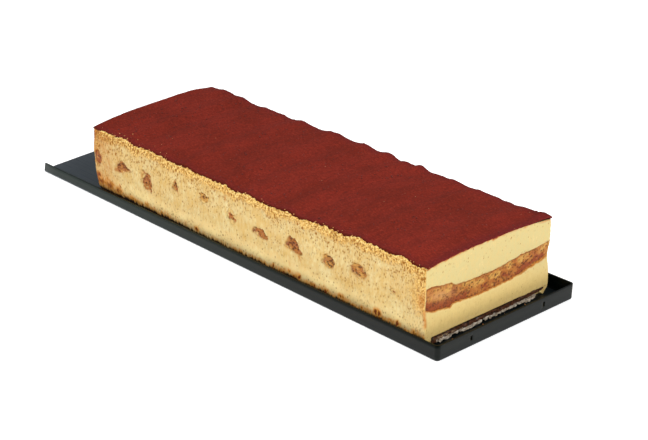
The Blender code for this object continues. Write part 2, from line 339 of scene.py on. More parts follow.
class Value:
    """A socket that takes part in Python sums, each of which adds its Math node."""

    def __init__(self, bench: "Bench", socket: bpy.types.NodeSocket) -> None:
        """Args:
            bench: where new nodes are made.
            socket: the output that this value stands for.
        """
        self.bench = bench
        self.socket = socket

    def _sum(self, operation: str, *terms: "Value | float") -> "Value":
        """Adds the Math node for one operation on these terms."""
        node = self.bench.node("ShaderNodeMath", {"operation": operation}, *terms)
        return Value(self.bench, node.outputs[0])

    def __add__(self, other: "Value | float") -> "Value":
        """Sum."""
        return self._sum("ADD", self, other)

    def __sub__(self, other: "Value | float") -> "Value":
        """Difference."""
        return self._sum("SUBTRACT", self, other)

    def __rsub__(self, other: float) -> "Value":
        """A number less this value."""
        return self._sum("SUBTRACT", other, self)

    def __mul__(self, other: "Value | float") -> "Value":
        """Product."""
        return self._sum("MULTIPLY", self, other)

    __radd__ = __add__
    __rmul__ = __mul__

    def clamped(self) -> "Value":
        """This value held between 0 and 1."""
        return self._sum("MINIMUM", self._sum("MAXIMUM", self, 0.0), 1.0)

    def between(self, low: float, high: float) -> "Value":
        """Eased step from 0 at low to 1 at high; low may be above high."""
        settings = {"interpolation_type": "SMOOTHSTEP"}
        if low > high:
            return 1.0 - self.between(high, low)
        node = self.bench.node("ShaderNodeMapRange", settings, self, low, high)
        return Value(self.bench, node.outputs[0])


class Bench:
    """Makes nodes in one tree."""

    def __init__(self, tree: bpy.types.NodeTree) -> None:
        """Args:
            tree: where the nodes go.
        """
        self.tree = tree

    def node(
        self,
        kind: str,
        settings: dict[str, object] | None = None,
        *inputs: object,
        **named: object,
    ) -> bpy.types.Node:
        """Makes any node.

        Args:
            kind: the node's type.
            settings: its own settings, set first.
            inputs: a value or a link for each socket in turn; None leaves a socket alone.
            named: the same by the socket's name, with _ for a space.

        Returns:
            The node.
        """
        made = self.tree.nodes.new(kind)
        for key, setting in (settings or {}).items():
            setattr(made, key, setting)
        pairs = [(made.inputs[number], given) for number, given in enumerate(inputs)]
        pairs += [(made.inputs[key.replace("_", " ")], given) for key, given in named.items()]
        for socket, given in pairs:
            self.feed(socket, given)
        return made

    def feed(self, socket: bpy.types.NodeSocket, given: object) -> None:
        """Sets a socket to a number or colour, or links it to a value."""
        if given is None:
            return
        if isinstance(given, Value):
            given = given.socket
        if isinstance(given, bpy.types.NodeSocket):
            self.tree.links.new(given, socket)
        else:
            socket.default_value = given


class Paint(Bench):
    """Makes the nodes of one material."""

    def __init__(self, name: str, specular: float = 0.5) -> None:
        """Args:
            name: the material's name.
            specular: the shader's specular level.
        """
        self.material = bpy.data.materials.new(name)
        self.material.use_nodes = True
        super().__init__(self.material.node_tree)
        self.shader = self.tree.nodes["Principled BSDF"]
        self.shader.inputs["Specular IOR Level"].default_value = specular
        self.place = self.node("ShaderNodeTexCoord").outputs["Object"]

    def stretched(self, scale: tuple[float, float, float]) -> bpy.types.NodeSocket:
        """The place on the piece in millimetres, with each axis scaled."""
        size = tuple(part / MM for part in scale)
        return self.node(
            "ShaderNodeVectorMath", {"operation": "MULTIPLY"}, self.place, size
        ).outputs[0]

    def noise(
        self,
        size: float,
        detail: float = 2.0,
        roughness: float = 0.5,
        stretch: tuple[float, float, float] = (1.0, 1.0, 1.0),
    ) -> Value:
        """Cloudy noise from 0 to 1 whose lumps are `size` millimetres across."""
        scale = tuple(1.0 / (size * part) for part in stretch)
        node = self.node(
            "ShaderNodeTexNoise",
            None,
            Vector=self.stretched(scale),
            Scale=1.0,
            Detail=detail,
            Roughness=roughness,
        )
        return Value(self, node.outputs["Fac"])

    def specks(
        self,
        size: float,
        stretch: tuple[float, float, float] = (1.0, 1.0, 1.0),
    ) -> tuple[Value, Value]:
        """Cells `size` millimetres apart: the distance to each one's middle, and its own number."""
        scale = tuple(1.0 / (size * part) for part in stretch)
        node = self.node("ShaderNodeTexVoronoi", None, Vector=self.stretched(scale), Scale=1.0)
        own = self.node("ShaderNodeSeparateColor", None, node.outputs["Color"]).outputs[0]
        return Value(self, node.outputs["Distance"]), Value(self, own)

    def mark(self, name: str) -> Value:
        """A number kept on the mesh's points."""
        node = self.node("ShaderNodeAttribute", {"attribute_name": name})
        return Value(self, node.outputs["Fac"])

    def blend(self, share: Value | float, first: object, second: object) -> bpy.types.NodeSocket:
        """The first colour where share is 0 and the second where it is 1."""
        settings = {"data_type": "RGBA", "blend_type": "MIX"}
        node = self.node("ShaderNodeMix", settings)
        self.feed(node.inputs[0], share)
        for socket, colour in ((node.inputs[6], first), (node.inputs[7], second)):
            self.feed(socket, linear(colour) if isinstance(colour, tuple) else colour)
        return node.outputs[2]

    def bump(self, height: Value, reach: float, strength: float = 1.0) -> bpy.types.NodeSocket:
        """Relief from a height of 0 to 1 that stands `reach` millimetres proud."""
        return self.node(
            "ShaderNodeBump", None, Strength=strength, Distance=reach * MM, Height=height
        ).outputs[0]

    def done(self, **sockets: object) -> bpy.types.Material:
        """Feeds the shader's sockets by name, with _ for a space, and returns the material."""
        for key, given in sockets.items():
            self.feed(self.shader.inputs[key.replace("_", " ")], given)
        return self.material


# --- The bar's form -----------------------------------------------------------------------


@dataclass
class Bar:
    """The bar's outer surfaces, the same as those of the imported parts.

    Attributes are millimetres unless they say otherwise.
    """

    length: float = 328.5
    width: float = 110.0
    place: tuple[float, float] = (24.2, -2.1)
    turn: float = math.radians(-0.15)
    foot: float = 1.4
    front_edge: float = 49.6
    front_rise: float = 4.8
    rise_start: float = 10.0
    rise_length: float = 120.0
    back_edge: float = 53.4
    crown: float = 3.0
    crown_power: float = 2.8
    ripples: tuple[tuple[float, float, float], ...] = ((0.55, 34.0, 0.6), (0.35, 21.0, 2.1))
    droop: float = 1.5
    droop_reach: float = 12.0
    seam_low: float = 28.0
    seam_rise: float = 2.2
    pinch: float = 1.2
    pinch_reach: float = 7.0
    tuck: float = 1.6
    tuck_reach: float = 3.5
    flare: float = 2.2
    flare_length: float = 70.0
    end_bulge: float = 0.8
    left_tuck: float = 3.4
    left_tuck_span: tuple[float, float] = (20.0, 3.0)
    left_swell: float = 1.7

    def to_parts(self, points: Array) -> Array:
        """Turns points in the bar's frame into metres in the parts' frame."""
        x, y, z = points.T
        c, s = math.cos(self.turn), math.sin(self.turn)
        moved = (x * c - y * s + self.place[0], x * s + y * c + self.place[1], z)
        return np.stack(moved, -1) * MM

    def top(self, x: Array, y: Array) -> Array:
        """Height of the cocoa over the tray's underside."""
        rise = fade(x, self.rise_start, self.rise_start + self.rise_length)
        front = self.front_edge + self.front_rise * rise
        flat = front + (self.back_edge - front) * (y / self.width + 0.5)
        side = np.minimum(np.abs(2.0 * y / self.width), 1.0)
        ripple = sum(h * np.sin(2.0 * np.pi * x / long + p) for h, long, p in self.ripples)
        to_corner = np.hypot(x + self.length / 2, y - self.width / 2)
        droop = self.droop * bell(to_corner, self.droop_reach)
        return flat + self.crown * (1.0 - side**self.crown_power) + ripple - droop

    def seam(self, y: Array) -> Array:
        """Height at which the two creams meet."""
        return self.seam_low + self.seam_rise * (2.0 * y / self.width) ** 2

    def end_inset(self, u: Array | float, z: Array) -> Array:
        """How far the end on u's side draws in at height z."""
        both = self.end_bulge * bell(z - self.seam_low, self.pinch_reach)
        left = self.left_tuck * fade(z, *self.left_tuck_span) - self.left_swell * bell(z - 30.0, 7.0)
        return both + np.where(u < 0.0, left, 0.0)

    def plan(self, u: Array, v: Array, z: Array) -> tuple[Array, Array]:
        """Plan position for u along and v across, each from -1 to 1, at height z."""
        pinch = self.pinch * bell(z - self.seam_low, self.pinch_reach)
        tuck = self.tuck * bell(z - self.foot, self.tuck_reach)
        x = u * (self.length / 2 - tuck - self.end_inset(u, z))
        swell = fade(x, self.length / 2 - self.flare_length, self.length / 2)
        half = self.width / 2 - tuck + np.where(v > 0.0, (self.flare - pinch) * swell, 0.0)
        return x, v * half


@dataclass
class Walk:
    """The bar's outline in plan, walked round from its front left corner.

    Attributes:
        bar: the bar's form.
        cells_x: cells along each long side.
        cells_y: cells along each end.
        corner: radius of the upright corners, in millimetres.
    """

    bar: Bar
    cells_x: int = 640
    cells_y: int = 216
    corner: float = 1.3

    def __post_init__(self) -> None:
        """Works out the columns."""
        half_x, half_y = self.bar.length / 2, self.bar.width / 2
        corners = [(-half_x, -half_y), (half_x, -half_y), (half_x, half_y), (-half_x, half_y)]
        normals = [(0.0, -1.0), (1.0, 0.0), (0.0, 1.0), (-1.0, 0.0)]
        xs, ys, nx, ny, run, side = [], [], [], [], [], []
        walked = 0.0
        for number, (start, normal) in enumerate(zip(corners, normals)):
            end = corners[(number + 1) % 4]
            long = math.dist(start, end)
            cells = self.cells_x if number % 2 == 0 else self.cells_y
            along = long * np.arange(cells) / cells
            way = ((end[0] - start[0]) / long, (end[1] - start[1]) / long)
            near = np.clip(1.0 - along / self.corner, 0.0, 1.0)
            far = np.clip(1.0 - (long - along) / self.corner, 0.0, 1.0)
            angle = 0.25 * math.pi * (near - far)
            straight = np.clip(along, self.corner, long - self.corner)
            bent = straight - self.corner * np.sin(angle)
            inset = self.corner * (1.0 - np.cos(angle))
            xs.append(start[0] + way[0] * bent - normal[0] * inset)
            ys.append(start[1] + way[1] * bent - normal[1] * inset)
            nx.append(normal[0] * np.cos(angle) - way[0] * np.sin(angle))
            ny.append(normal[1] * np.cos(angle) - way[1] * np.sin(angle))
            run.append(walked + along)
            side.append(np.full(cells, number))
            walked += long
        self.x, self.y = np.concatenate(xs), np.concatenate(ys)
        self.nx, self.ny = np.concatenate(nx), np.concatenate(ny)
        self.run, self.side = np.concatenate(run), np.concatenate(side)
        self.around = walked
        self.u, self.v = self.x / half_x, self.y / half_y

    def wall(self, z: Array) -> tuple[Array, Array]:
        """Plan position of every column at the heights z, which end in the columns' axis."""
        return self.bar.plan(self.u, self.v, z)


# --- Ladyfinger ends, which the creams make room for --------------------------------------


@dataclass(frozen=True)
class FingerEnd:
    """What shows of one ladyfinger at a long side of the bar, in millimetres.

    Attributes:
        shift: sideways from the finger's middle.
        width: how wide it shows.
        low: its lowest point.
        high: its highest point.
        tilt: degrees by which its long way leans, up to the right.
        point: how much it narrows upwards, from 0 to 1.
        lean: how far its top lies to the right, in half widths.
        tone: from 0, golden, to 1, dark red-brown.
        tail: length of the smear that was dragged from it, down and to the right.
        haze: how far its colour has run into the cream.
        veil: how much cream was smeared over it, from 0 to 1.
    """

    shift: float
    width: float
    low: float
    high: float
    tilt: float = 0.0
    point: float = 0.0
    lean: float = 0.0
    tone: float = 0.5
    tail: float = 0.0
    haze: float = 1.2
    veil: float = 0.3

    def level(self, x: Array, z: Array, wobble: Array) -> Array:
        """How far out a point is: below 1 inside the outline, above 1 outside.

        Args:
            x: sideways from the finger's middle.
            z: height.
            wobble: noise from -1 to 1 that makes the outline uneven.

        Returns:
            The level, which grows evenly outwards.
        """
        angle = math.radians(self.tilt)
        across, up = x - self.shift, z - (self.low + self.high) / 2
        stood = (up * math.cos(angle) - across * math.sin(angle)) / ((self.high - self.low) / 2)
        leant = (across * math.cos(angle) + up * math.sin(angle)) / (self.width / 2)
        leant = leant - self.lean * (stood + 1.0) / 2
        narrow = 1.0 + 0.15 * self.point - self.point * np.clip((stood + 0.6) / 1.6, 0.0, 0.95)
        square = 2.2 + 2.4 * self.point
        return (np.abs(leant / narrow) ** square + np.abs(stood) ** square) ** (1 / square) + 0.34 * wobble


@dataclass
class Fingers:
    """Where the twelve ladyfingers lie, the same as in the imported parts."""

    bar: Bar
    pitch: float = 29.8
    first_x: float = -160.1
    width: float = 26.0
    height: float = 12.0
    middle: float = 28.0
    seed: int = 7
    front: tuple[FingerEnd, ...] = (
        FingerEnd(0.2, 9.6, 22.4, 34.4, tone=0.95, haze=2.0, veil=0.1),
        FingerEnd(-3.4, 18.6, 24.8, 32.8, tilt=16.0, point=0.9, lean=0.18, tone=0.6, haze=1.8, veil=0.1),
        FingerEnd(-2.2, 12.0, 19.6, 34.2, lean=-0.3, tone=0.7, haze=2.8, veil=0.4),
        FingerEnd(-1.0, 6.4, 30.0, 37.6, point=0.85, lean=-0.2, tone=0.5, tail=5.0, veil=0.15),
        FingerEnd(-0.9, 10.2, 30.8, 37.6, tilt=8.0, point=0.3, tone=0.1, tail=7.0, veil=0.4),
        FingerEnd(-1.8, 8.6, 25.0, 35.2, lean=-0.3, tone=0.6, haze=1.8, veil=1.0),
        FingerEnd(-4.0, 15.2, 24.8, 31.0, tilt=-8.0, point=0.4, tone=0.65, veil=0.3),
        FingerEnd(-0.6, 14.4, 25.4, 34.8, tilt=-4.0, point=0.5, lean=-0.3, tone=0.6, tail=8.0, veil=0.1),
        FingerEnd(2.2, 12.0, 26.0, 34.6, tilt=-3.0, point=0.4, tone=0.3, tail=3.0, veil=0.05),
        FingerEnd(-0.6, 15.0, 28.4, 37.6, tilt=-4.0, tone=0.4, haze=3.2, veil=0.2),
        FingerEnd(-0.8, 5.4, 28.8, 31.4, tilt=-15.0, tone=0.6, haze=0.6, veil=0.9),
        FingerEnd(0.0, 16.0, 25.7, 41.2, tone=0.35, haze=2.6),
    )
    cut_back: FingerEnd = FingerEnd(0.0, 16.0, 28.0, 37.7, tone=0.4, haze=2.0)

    def __post_init__(self) -> None:
        """Draws the ends at the back side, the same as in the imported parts."""
        backs = []
        for index in range(len(self.front)):
            draw = random.Random(self.seed + index)
            size = [draw.uniform(*r) for r in ((-2.5, 2.5), (11, 17), (22.5, 25.5), (33, 36.5))]
            looks = {"tone": draw.uniform(0.2, 0.9), "tilt": draw.uniform(-20, 20)}
            looks |= {"point": draw.uniform(0.0, 0.6), "tail": draw.choice((0.0, 4.0, 7.0))}
            backs.append(FingerEnd(*size, **looks))
        backs[-1] = self.cut_back
        self.back = tuple(backs)

    def middle_x(self, index: int) -> float:
        """Where along the bar a finger lies."""
        return self.first_x + index * self.pitch

    def section(self, index: int, y: Array | float) -> tuple[Array, Array, Array, Array]:
        """A finger's cross-section at y.

        Returns:
            Its middle's x and z, its half width and its half height.
        """
        reach = np.clip(y / (self.bar.width / 2), -1.0, 1.0)
        full = np.sqrt(1.0 - np.abs(reach) ** 4)
        bend = reach**2
        front, back = self.front[index], self.back[index]

        def either(name: str) -> Array:
            """One size of the nearer end."""
            return np.where(reach < 0.0, getattr(front, name), getattr(back, name))

        low, high, width = either("low"), either("high"), either("width")
        x = self.middle_x(index) + either("shift") * bend
        z = self.middle + ((low + high) / 2 - self.middle) * bend
        half_width = (width + (self.width - width) * full) / 2
        half_height = (high - low + (self.height - high + low) * full) / 2
        return x, z, half_width, half_height


# --- Creams -------------------------------------------------------------------------------


@dataclass(frozen=True)
class Smudge:
    """A stain on a long side: its middle, half sizes in millimetres, and strength."""

    x: float
    z: float
    wide: float
    high: float
    strength: float = 0.8

    def share(self, x: Array, z: Array) -> Array:
        """How strongly it colours each point."""
        return self.strength * bell(x - self.x, self.wide) * bell(z - self.z, self.high)


@dataclass
class Creams:
    """The two creams: rough, pored long sides and smooth knife-cut ends.

    Attributes are millimetres unless they say otherwise. Each pore kind has its spacing, smallest
    and largest half width, and depth. Each smudge of the front side has what `Smudge` takes.
    """

    bar: Bar
    walk: Walk
    fingers: Fingers
    seed: int = 11
    lower_rows: int = 52
    upper_rows: int = 40
    roll: tuple[float, ...] = (0.2, 0.5, 0.8, 1.15, 1.5, 1.9, 2.35, 2.9, 3.6, 4.4)
    cocoa_cut: float = 0.75
    pore_kinds: tuple[tuple[float, float, float, float], ...] = (
        (2.8, 0.32, 0.55, 0.26),
        (1.5, 0.22, 0.38, 0.16),
    )
    socket_depth: float = 2.2
    base_window: tuple[float, float, float] = (-49.0, 52.6, 7.1)
    # Heights at the left and right end of the line along the foot: the painted shadow of the gap behind the
    # tray's rim lies just over it, and the coffee fringe rises above that.
    foot_line: tuple[float, float] = (4.9, 6.3)
    cap_ratio: int = 8
    smudges: tuple[tuple[float, ...], ...] = (
        (-162.0, 12.5, 9.0, 7.2, 1.25), (-150.0, 11.5, 9.0, 5.4, 1.15), (-139.0, 9.6, 8.0, 4.0, 1.0),
        (-120.0, 8.0, 12.0, 2.8, 0.95), (-136.0, 13.6, 1.0, 2.0, 1.45), (-152.0, 16.0, 8.0, 1.4, 0.7),
        (-163.5, 45.0, 5.5, 8.0, 0.95), (-157.0, 49.0, 7.0, 2.2, 0.9), (-150.0, 42.0, 0.9, 5.0, 0.5),
        (-90.3, 7.4, 2.4, 1.6, 0.95), (-74.0, 7.0, 3.0, 1.6, 0.6), (-51.0, 8.8, 3.4, 2.4, 1.1),
        (-19.5, 41.5, 0.9, 4.2, 0.6), (-16.0, 46.0, 2.4, 1.6, 0.5), (-5.0, 7.6, 4.0, 2.0, 0.7),
        (43.6, 17.0, 1.3, 4.4, 0.6), (30.0, 9.0, 4.0, 2.4, 1.1), (42.0, 10.0, 4.0, 2.8, 1.2),
        (51.0, 9.6, 4.0, 2.8, 1.5), (66.0, 8.8, 5.0, 2.0, 1.1), (91.0, 10.0, 4.0, 2.4, 1.1),
        (98.0, 9.0, 3.0, 2.0, 0.9), (124.0, 11.2, 3.6, 3.0, 1.6), (141.0, 10.0, 4.0, 2.4, 1.15),
        (117.0, 9.4, 9.0, 2.4, 0.95), (81.0, 9.0, 5.0, 2.0, 0.7), (109.0, 9.0, 2.2, 1.8, 0.8),
        (157.0, 9.6, 4.0, 2.8, 1.1), (106.0, 27.5, 7.0, 2.6, 0.3), (162.0, 33.0, 4.0, 7.0, 0.75),
        (163.0, 22.0, 1.8, 12.0, 0.4),
    )

    def __post_init__(self) -> None:
        """Sets up the noise, the pores and both sides' stains."""
        self.grain = Grain(self.seed)
        self.draw = np.random.default_rng(self.seed)
        spots = self.draw.uniform((-160, 5, 2, 1.6, 0.4), (160, 16, 9, 4, 0.9), (16, 5))
        self.stains = [[Smudge(*map(float, row)) for row in rows] for rows in (self.smudges, spots)]
        self.pores = self.scatter_pores()

    def scatter_pores(self) -> Array:
        """Picks the pores of all four sides.

        Returns:
            A row for each: run along the outline, height, half width, half height, depth, darkness.
        """
        walk, bar = self.walk, self.bar
        found = []
        for spacing, smallest, largest, deep in self.pore_kinds:
            runs = np.arange(0.0, walk.around, spacing)
            heights = np.arange(bar.foot + 1.0, 56.0, spacing * 1.1)
            run, z = (part.ravel() for part in np.meshgrid(runs, heights))
            run = run + self.draw.uniform(-0.45, 0.45, run.shape) * spacing
            z = z + self.draw.uniform(-0.45, 0.45, run.shape) * spacing
            column = np.searchsorted(walk.run, run % walk.around) % len(walk.run)
            x, y, side = walk.x[column], walk.y[column], walk.side[column]
            below = bar.top(x, y) - z
            patchy = self.grain.rough(run / 11.0, z / 8.0)
            thick = 0.36 * fade(below, 24.0, 4.0) + 0.5 * patchy + 0.24 * fade(x, 50.0, 110.0)
            thick = thick + 0.25 * fade(np.abs(x), 138.0, 158.0) + 0.3 * fade(-x, 20.0, 90.0)
            keep = np.where(side % 2 == 0, thick, 0.1)
            chosen = (self.draw.uniform(size=run.shape) < keep) & (below > 0.8)
            total = int(chosen.sum())
            half = self.draw.uniform(smallest, largest, total)
            half = half * (0.92 + 0.2 * fade(below[chosen], 9.0, 3.0))
            tall = half * self.draw.uniform(0.9, 2.6, total)
            cut = side[chosen] % 2 == 1
            depth = deep * self.draw.uniform(0.5, 1.2, total) * np.where(cut, 0.35, 1.0)
            dark = self.draw.uniform(0.3, 1.3, total) * (0.6 + 0.8 * fade(below[chosen], 22.0, 5.0))
            size = np.where(cut, 0.55, 1.0)
            found.append(np.stack([run[chosen], z[chosen], half * size, tall * size, depth, dark], 1))
        return np.concatenate(found)

    def pore_relief(self, z: Array) -> tuple[Array, Array]:
        """Depth and colour of the pores at every point of the wall."""
        run = self.walk.run
        deep, dark = np.zeros(z.shape), np.zeros(z.shape)
        for start, height, wide, tall, depth, shade in self.pores:
            first, last = np.searchsorted(run, (start - 2.2 * wide, start + 2.2 * wide))
            if first == last:
                continue
            part = (slice(None), slice(first, last))
            level = ((run[first:last] - start) / wide) ** 2 + ((z[part] - height) / tall) ** 2
            share = np.exp(-(level**1.4))
            deep[part] = np.maximum(deep[part], depth * share)
            dark[part] = np.maximum(dark[part], shade * share)
        return deep, dark

    def band_depth(self, index: int, y: Array, z: Array) -> Array:
        """Signed distance inside the ladyfinger that a knife cut shows across an end."""
        bar, grain = self.bar, self.grain
        middle, mid_z, half_width, half_height = self.fingers.section(index, y)
        plane = math.copysign(bar.length / 2 - bar.end_bulge, middle.flat[0])
        off = np.clip(np.abs(plane - middle) / half_width, 0.0, 1.0)
        half = half_height * (1.0 - off**2.5) ** 0.4
        half = half + self.hump(y) + 0.6 * grain.rough(y / 6.0, index + 0.5)
        half = half + 1.4 * bell(y - 27.0, 13.0) * (z > mid_z)
        edge = half - np.abs(z - mid_z) + 0.55 * grain.rough(y / 2.2, z / 2.2)
        return np.minimum(edge, y + 53.6 + 0.5 * grain.swell(z / 3.0, 4.5))

    def hump(self, y: Array) -> Array:
        """How much thicker the cut ladyfinger is near its front end."""
        return 2.0 * fade(y, -29.0, -33.5) * fade(y, -56.0, -47.0)

    def relief(self, z: Array) -> tuple[Array, dict[str, Array]]:
        """How far each point of the wall stands out, and what colours it.

        Args:
            z: heights, one row for each level and one column for each place round the bar.

        Returns:
            Millimetres outwards, and the marks that the material reads.
        """
        walk, grain = self.walk, self.grain
        x, y, run = (np.broadcast_to(part, z.shape) for part in (walk.x, walk.y, walk.run))
        rough = fade(np.abs(np.broadcast_to(walk.ny, z.shape)), 0.45, 0.9)
        below = self.bar.top(x, y) - z
        cloud = grain.rough(run / 9.0, z / 6.0)
        crumb = self.crumbliness(x, z, below, cloud)
        lump = self.crumbs(run, z)
        streak = grain.rough(run / 1.5, z / 10.0, layers=2)
        out = rough * (
            0.3 * grain.rough(run / 26.0, z / 17.0)
            + 0.16 * streak
            + 0.1 * grain.rough(run / 2.3, z / 3.1)
            + crumb * (0.5 * lump - 0.16)
            + 0.35 * fade(below, 3.0, 0.0) * grain.rough(run / 7.0, z / 7.0)
        )
        behind = fade(np.broadcast_to(walk.ny, z.shape), 0.2, 0.8)
        out = out - 0.55 * behind * fade(below, 2.4, 0.6)
        out = out + (1.0 - rough) * 0.1 * grain.rough(run / 14.0, z / 9.0)
        deep, pore = self.pore_relief(z)

        stain, soaked = self.foot_stain(x, z, rough, cloud)
        edging = fade(below + 0.9 * grain.rough(run / 2.4, z / 1.5, layers=2), 2.5, 1.0)
        stain = np.maximum(stain, (0.7 + 0.5 * cloud) * (1.0 - rough) * edging)
        brim = bell(np.hypot(x - self.bar.length / 2, y + self.bar.width / 2), 1.9)
        brim = brim * fade(z, 4.0, 20.0) * fade(z, 44.0, 34.0)
        stain = np.maximum(stain, (0.3 + 0.8 * cloud) * brim)
        halo, tail, socket = self.round_fingers(x, z)
        rim, cut_socket = self.round_cuts(y, z)
        stain = np.maximum.reduce([stain, halo, tail, rim])
        socket = np.maximum(socket, cut_socket)
        marks = {
            "pore": pore * (1.0 - socket),
            "crumb": crumb * rough,
            "lump": lump * crumb * rough,
            "stain": np.clip(stain, 0.0, 1.0),
            "cut": 1.0 - rough,
            # low: painted light that lightens the cut faces towards the foot, against the shade of the tray's
            # rim.
            "low": fade(below, 20.0, 50.0),
            # lift: painted light that lightens the long sides near the foot, against the shade of the tray's
            # rim, less at the left end.
            "lift": fade(z, 22.0, 10.5) * (0.45 + 0.55 * fade(-x, 150.0, 118.0)) * rough,
            "streak": streak * 0.6 + 0.5,
            # soaked: painted shadow, the dark line along the foot over the tray's rim.
            "soaked": soaked,
        }
        return (out - deep) * (1.0 - socket) - self.socket_depth * socket, marks

    def crumbliness(self, x: Array, z: Array, below: Array, cloud: Array) -> Array:
        """How crumbly the torn sides are: most under the top edge and at the corners.

        Args:
            x: place along the bar.
            z: height.
            below: depth under the cocoa.
            cloud: noise from -1 to 1 that blurs the borders.

        Returns:
            The share, from 0 to 1.
        """
        corner = np.maximum(fade(x + 3.0 * cloud, 148.0, 161.0), fade(-x + 3.0 * cloud, 152.0, 163.0))
        crumb = np.maximum(fade(below + 3.0 * cloud, 9.0, 2.0), 0.8 * corner * fade(z, 16.0, 30.0))
        crumb = np.maximum(crumb, 0.4 * fade(z - self.bar.foot + 2.0 * cloud, 5.0, 1.5))
        return np.maximum(crumb, 0.16 + 0.2 * cloud)

    def foot_stain(self, x: Array, z: Array, rough: Array, cloud: Array) -> tuple[Array, Array]:
        """Smudges, the coffee that rose from the tray, and the painted shadow along the foot.

        Args:
            x: place along the bar.
            z: height.
            rough: 1 on the torn sides and 0 on the cuts.
            cloud: noise from -1 to 1.

        Returns:
            How stained each point is, and how far it lies in the painted shadow line at the foot, over the
            tray's rim.
        """
        grain, run = self.grain, np.broadcast_to(self.walk.run, z.shape)
        stain = np.zeros(z.shape)
        for number, smudges in zip((0, 2), self.stains):
            there = self.walk.side == number
            for smudge in smudges:
                stain = np.maximum(stain, np.where(there, smudge.share(x, z), 0.0))
        half = self.bar.length / 2
        shore = np.interp(x, (-half, half), self.foot_line)
        brush = grain.rough(run / 1.2, z / 7.0, layers=2)
        clump = grain.rough(run / 10.0, 8.5)
        fringe = fade(z + 2.8 * brush - 3.4 * clump, shore + 6.6, shore + 2.2)
        fringe = fringe * (0.5 + 0.35 * fade(np.abs(x + 50.0), 15.0, 50.0)) * rough
        fringe = np.maximum(fringe, 0.48 * fade(x + 5.0 * cloud, -118.0, -152.0) * rough)
        stain = np.maximum(stain, fringe) * (0.75 + 0.4 * grain.rough(run / 2.0, z / 2.6))
        stain = stain * (1.0 + 0.9 * brush * fade(x, 10.0, 30.0) * fade(z, 16.0, 11.0))
        # Painted shadow: the near-black line just over the tray's rim, where the gap behind the rim is dark.
        soaked = fade(z + 1.4 * brush - 1.0 * clump, shore + 2.9, shore + 0.9) * rough
        return stain, soaked

    def round_fingers(self, x: Array, z: Array) -> tuple[Array, Array, Array]:
        """What the ladyfingers' ends leave in the cream of the long sides.

        Args:
            x: place along the bar.
            z: height.

        Returns:
            The halo round each end, the smear dragged from it, and the socket it stands in.
        """
        walk = self.walk
        stain, tail, socket = np.zeros(z.shape), np.zeros(z.shape), np.zeros(z.shape)
        wobble = self.grain.rough(walk.run / 2.6, z / 2.6, layers=2)
        for number, ends in ((0, self.fingers.front), (2, self.fingers.back)):
            for index, end in enumerate(ends):
                middle = self.fingers.middle_x(index)
                columns = np.flatnonzero((walk.side == number) & (np.abs(walk.x - middle) < 26.0))
                part = (slice(None), columns)
                near_x = x[part] - middle
                level = end.level(near_x, z[part], wobble[part])
                size = (end.width + end.high - end.low) / 4
                away = np.maximum(level - 1.0, 0.0) * size
                halo = (0.22 + 0.3 * end.tone) * (1.0 - 0.7 * end.veil) * np.exp(-away / end.haze)
                stain[part] = np.maximum(stain[part], halo * (1.0 + 0.6 * wobble[part]))
                if index < len(ends) - 1:
                    socket[part] = np.maximum(socket[part], fade(level, 1.05, 0.84))
                if end.tail:
                    slid = np.clip((end.low + 2.0 - z[part]) / end.tail, -0.3, 1.3)
                    beside = near_x - end.shift - end.width * 0.25 - end.tail * 0.45 * slid
                    drag = bell(beside, 1.2) * fade(slid, -0.3, 0.1) * fade(slid, 1.3, 0.5)
                    tail[part] = np.maximum(tail[part], (0.3 + 0.4 * end.tone) * drag)
        return stain, tail, socket

    def round_cuts(self, y: Array, z: Array) -> tuple[Array, Array]:
        """What shows through the cream of the two ends: the cut ladyfinger and the base.

        Args:
            y: place across the bar.
            z: height.

        Returns:
            The stain along their borders, and the socket that they stand in.
        """
        grain = self.grain
        stain, socket = np.zeros(z.shape), np.zeros(z.shape)
        low, high, top = self.base_window
        for number, index in ((1, len(self.fingers.front) - 1), (3, 0)):
            part = (slice(None), np.flatnonzero(self.walk.side == number))
            inside = self.band_depth(index, y[part], z[part])
            stain[part] = 0.75 * fade(inside, -1.1, 0.0)
            window = np.minimum(np.minimum(y[part] - low, high - y[part]), top - z[part])
            window = window + 0.35 * grain.rough(y[part] / 2.0, z[part] / 2.0, layers=2)
            socket[part] = np.maximum(fade(inside, -0.4, 0.5), fade(window, -0.3, 0.4))
        return stain, socket

    def crumbs(self, run: Array, up: Array) -> Array:
        """Height, from 0 to 1, of the crumbs that a torn surface shows."""
        nearest, own = self.grain.cells(run / 1.08, up / 1.12)
        return np.clip(1.0 - (nearest / 0.72) ** 2, 0.0, 1.0) * (0.4 + 0.6 * own)

    def wall(self, draft: Draft, z: Array) -> tuple[Array, Array]:
        """Adds a wall to a draft.

        Returns:
            The points' indices, and the points.
        """
        out, marks = self.relief(z)
        px, py = self.walk.wall(z)
        points = np.stack([px + self.walk.nx * out, py + self.walk.ny * out, z], -1)
        grid = draft.add(points, **marks)
        draft.sheet(grid, closed=True)
        return grid, points

    def cap(self, draft: Draft, ring: Array, inset: float, height: Callable[..., Array]) -> None:
        """Closes a wall inside its last ring, with a sheet whose height comes from x and y."""
        cells = (self.walk.cells_x // self.cap_ratio, self.walk.cells_y // self.cap_ratio)
        half = (self.bar.length / 2 - inset, self.bar.width / 2 - inset)
        coarse_cap(draft, ring, half, cells, height)

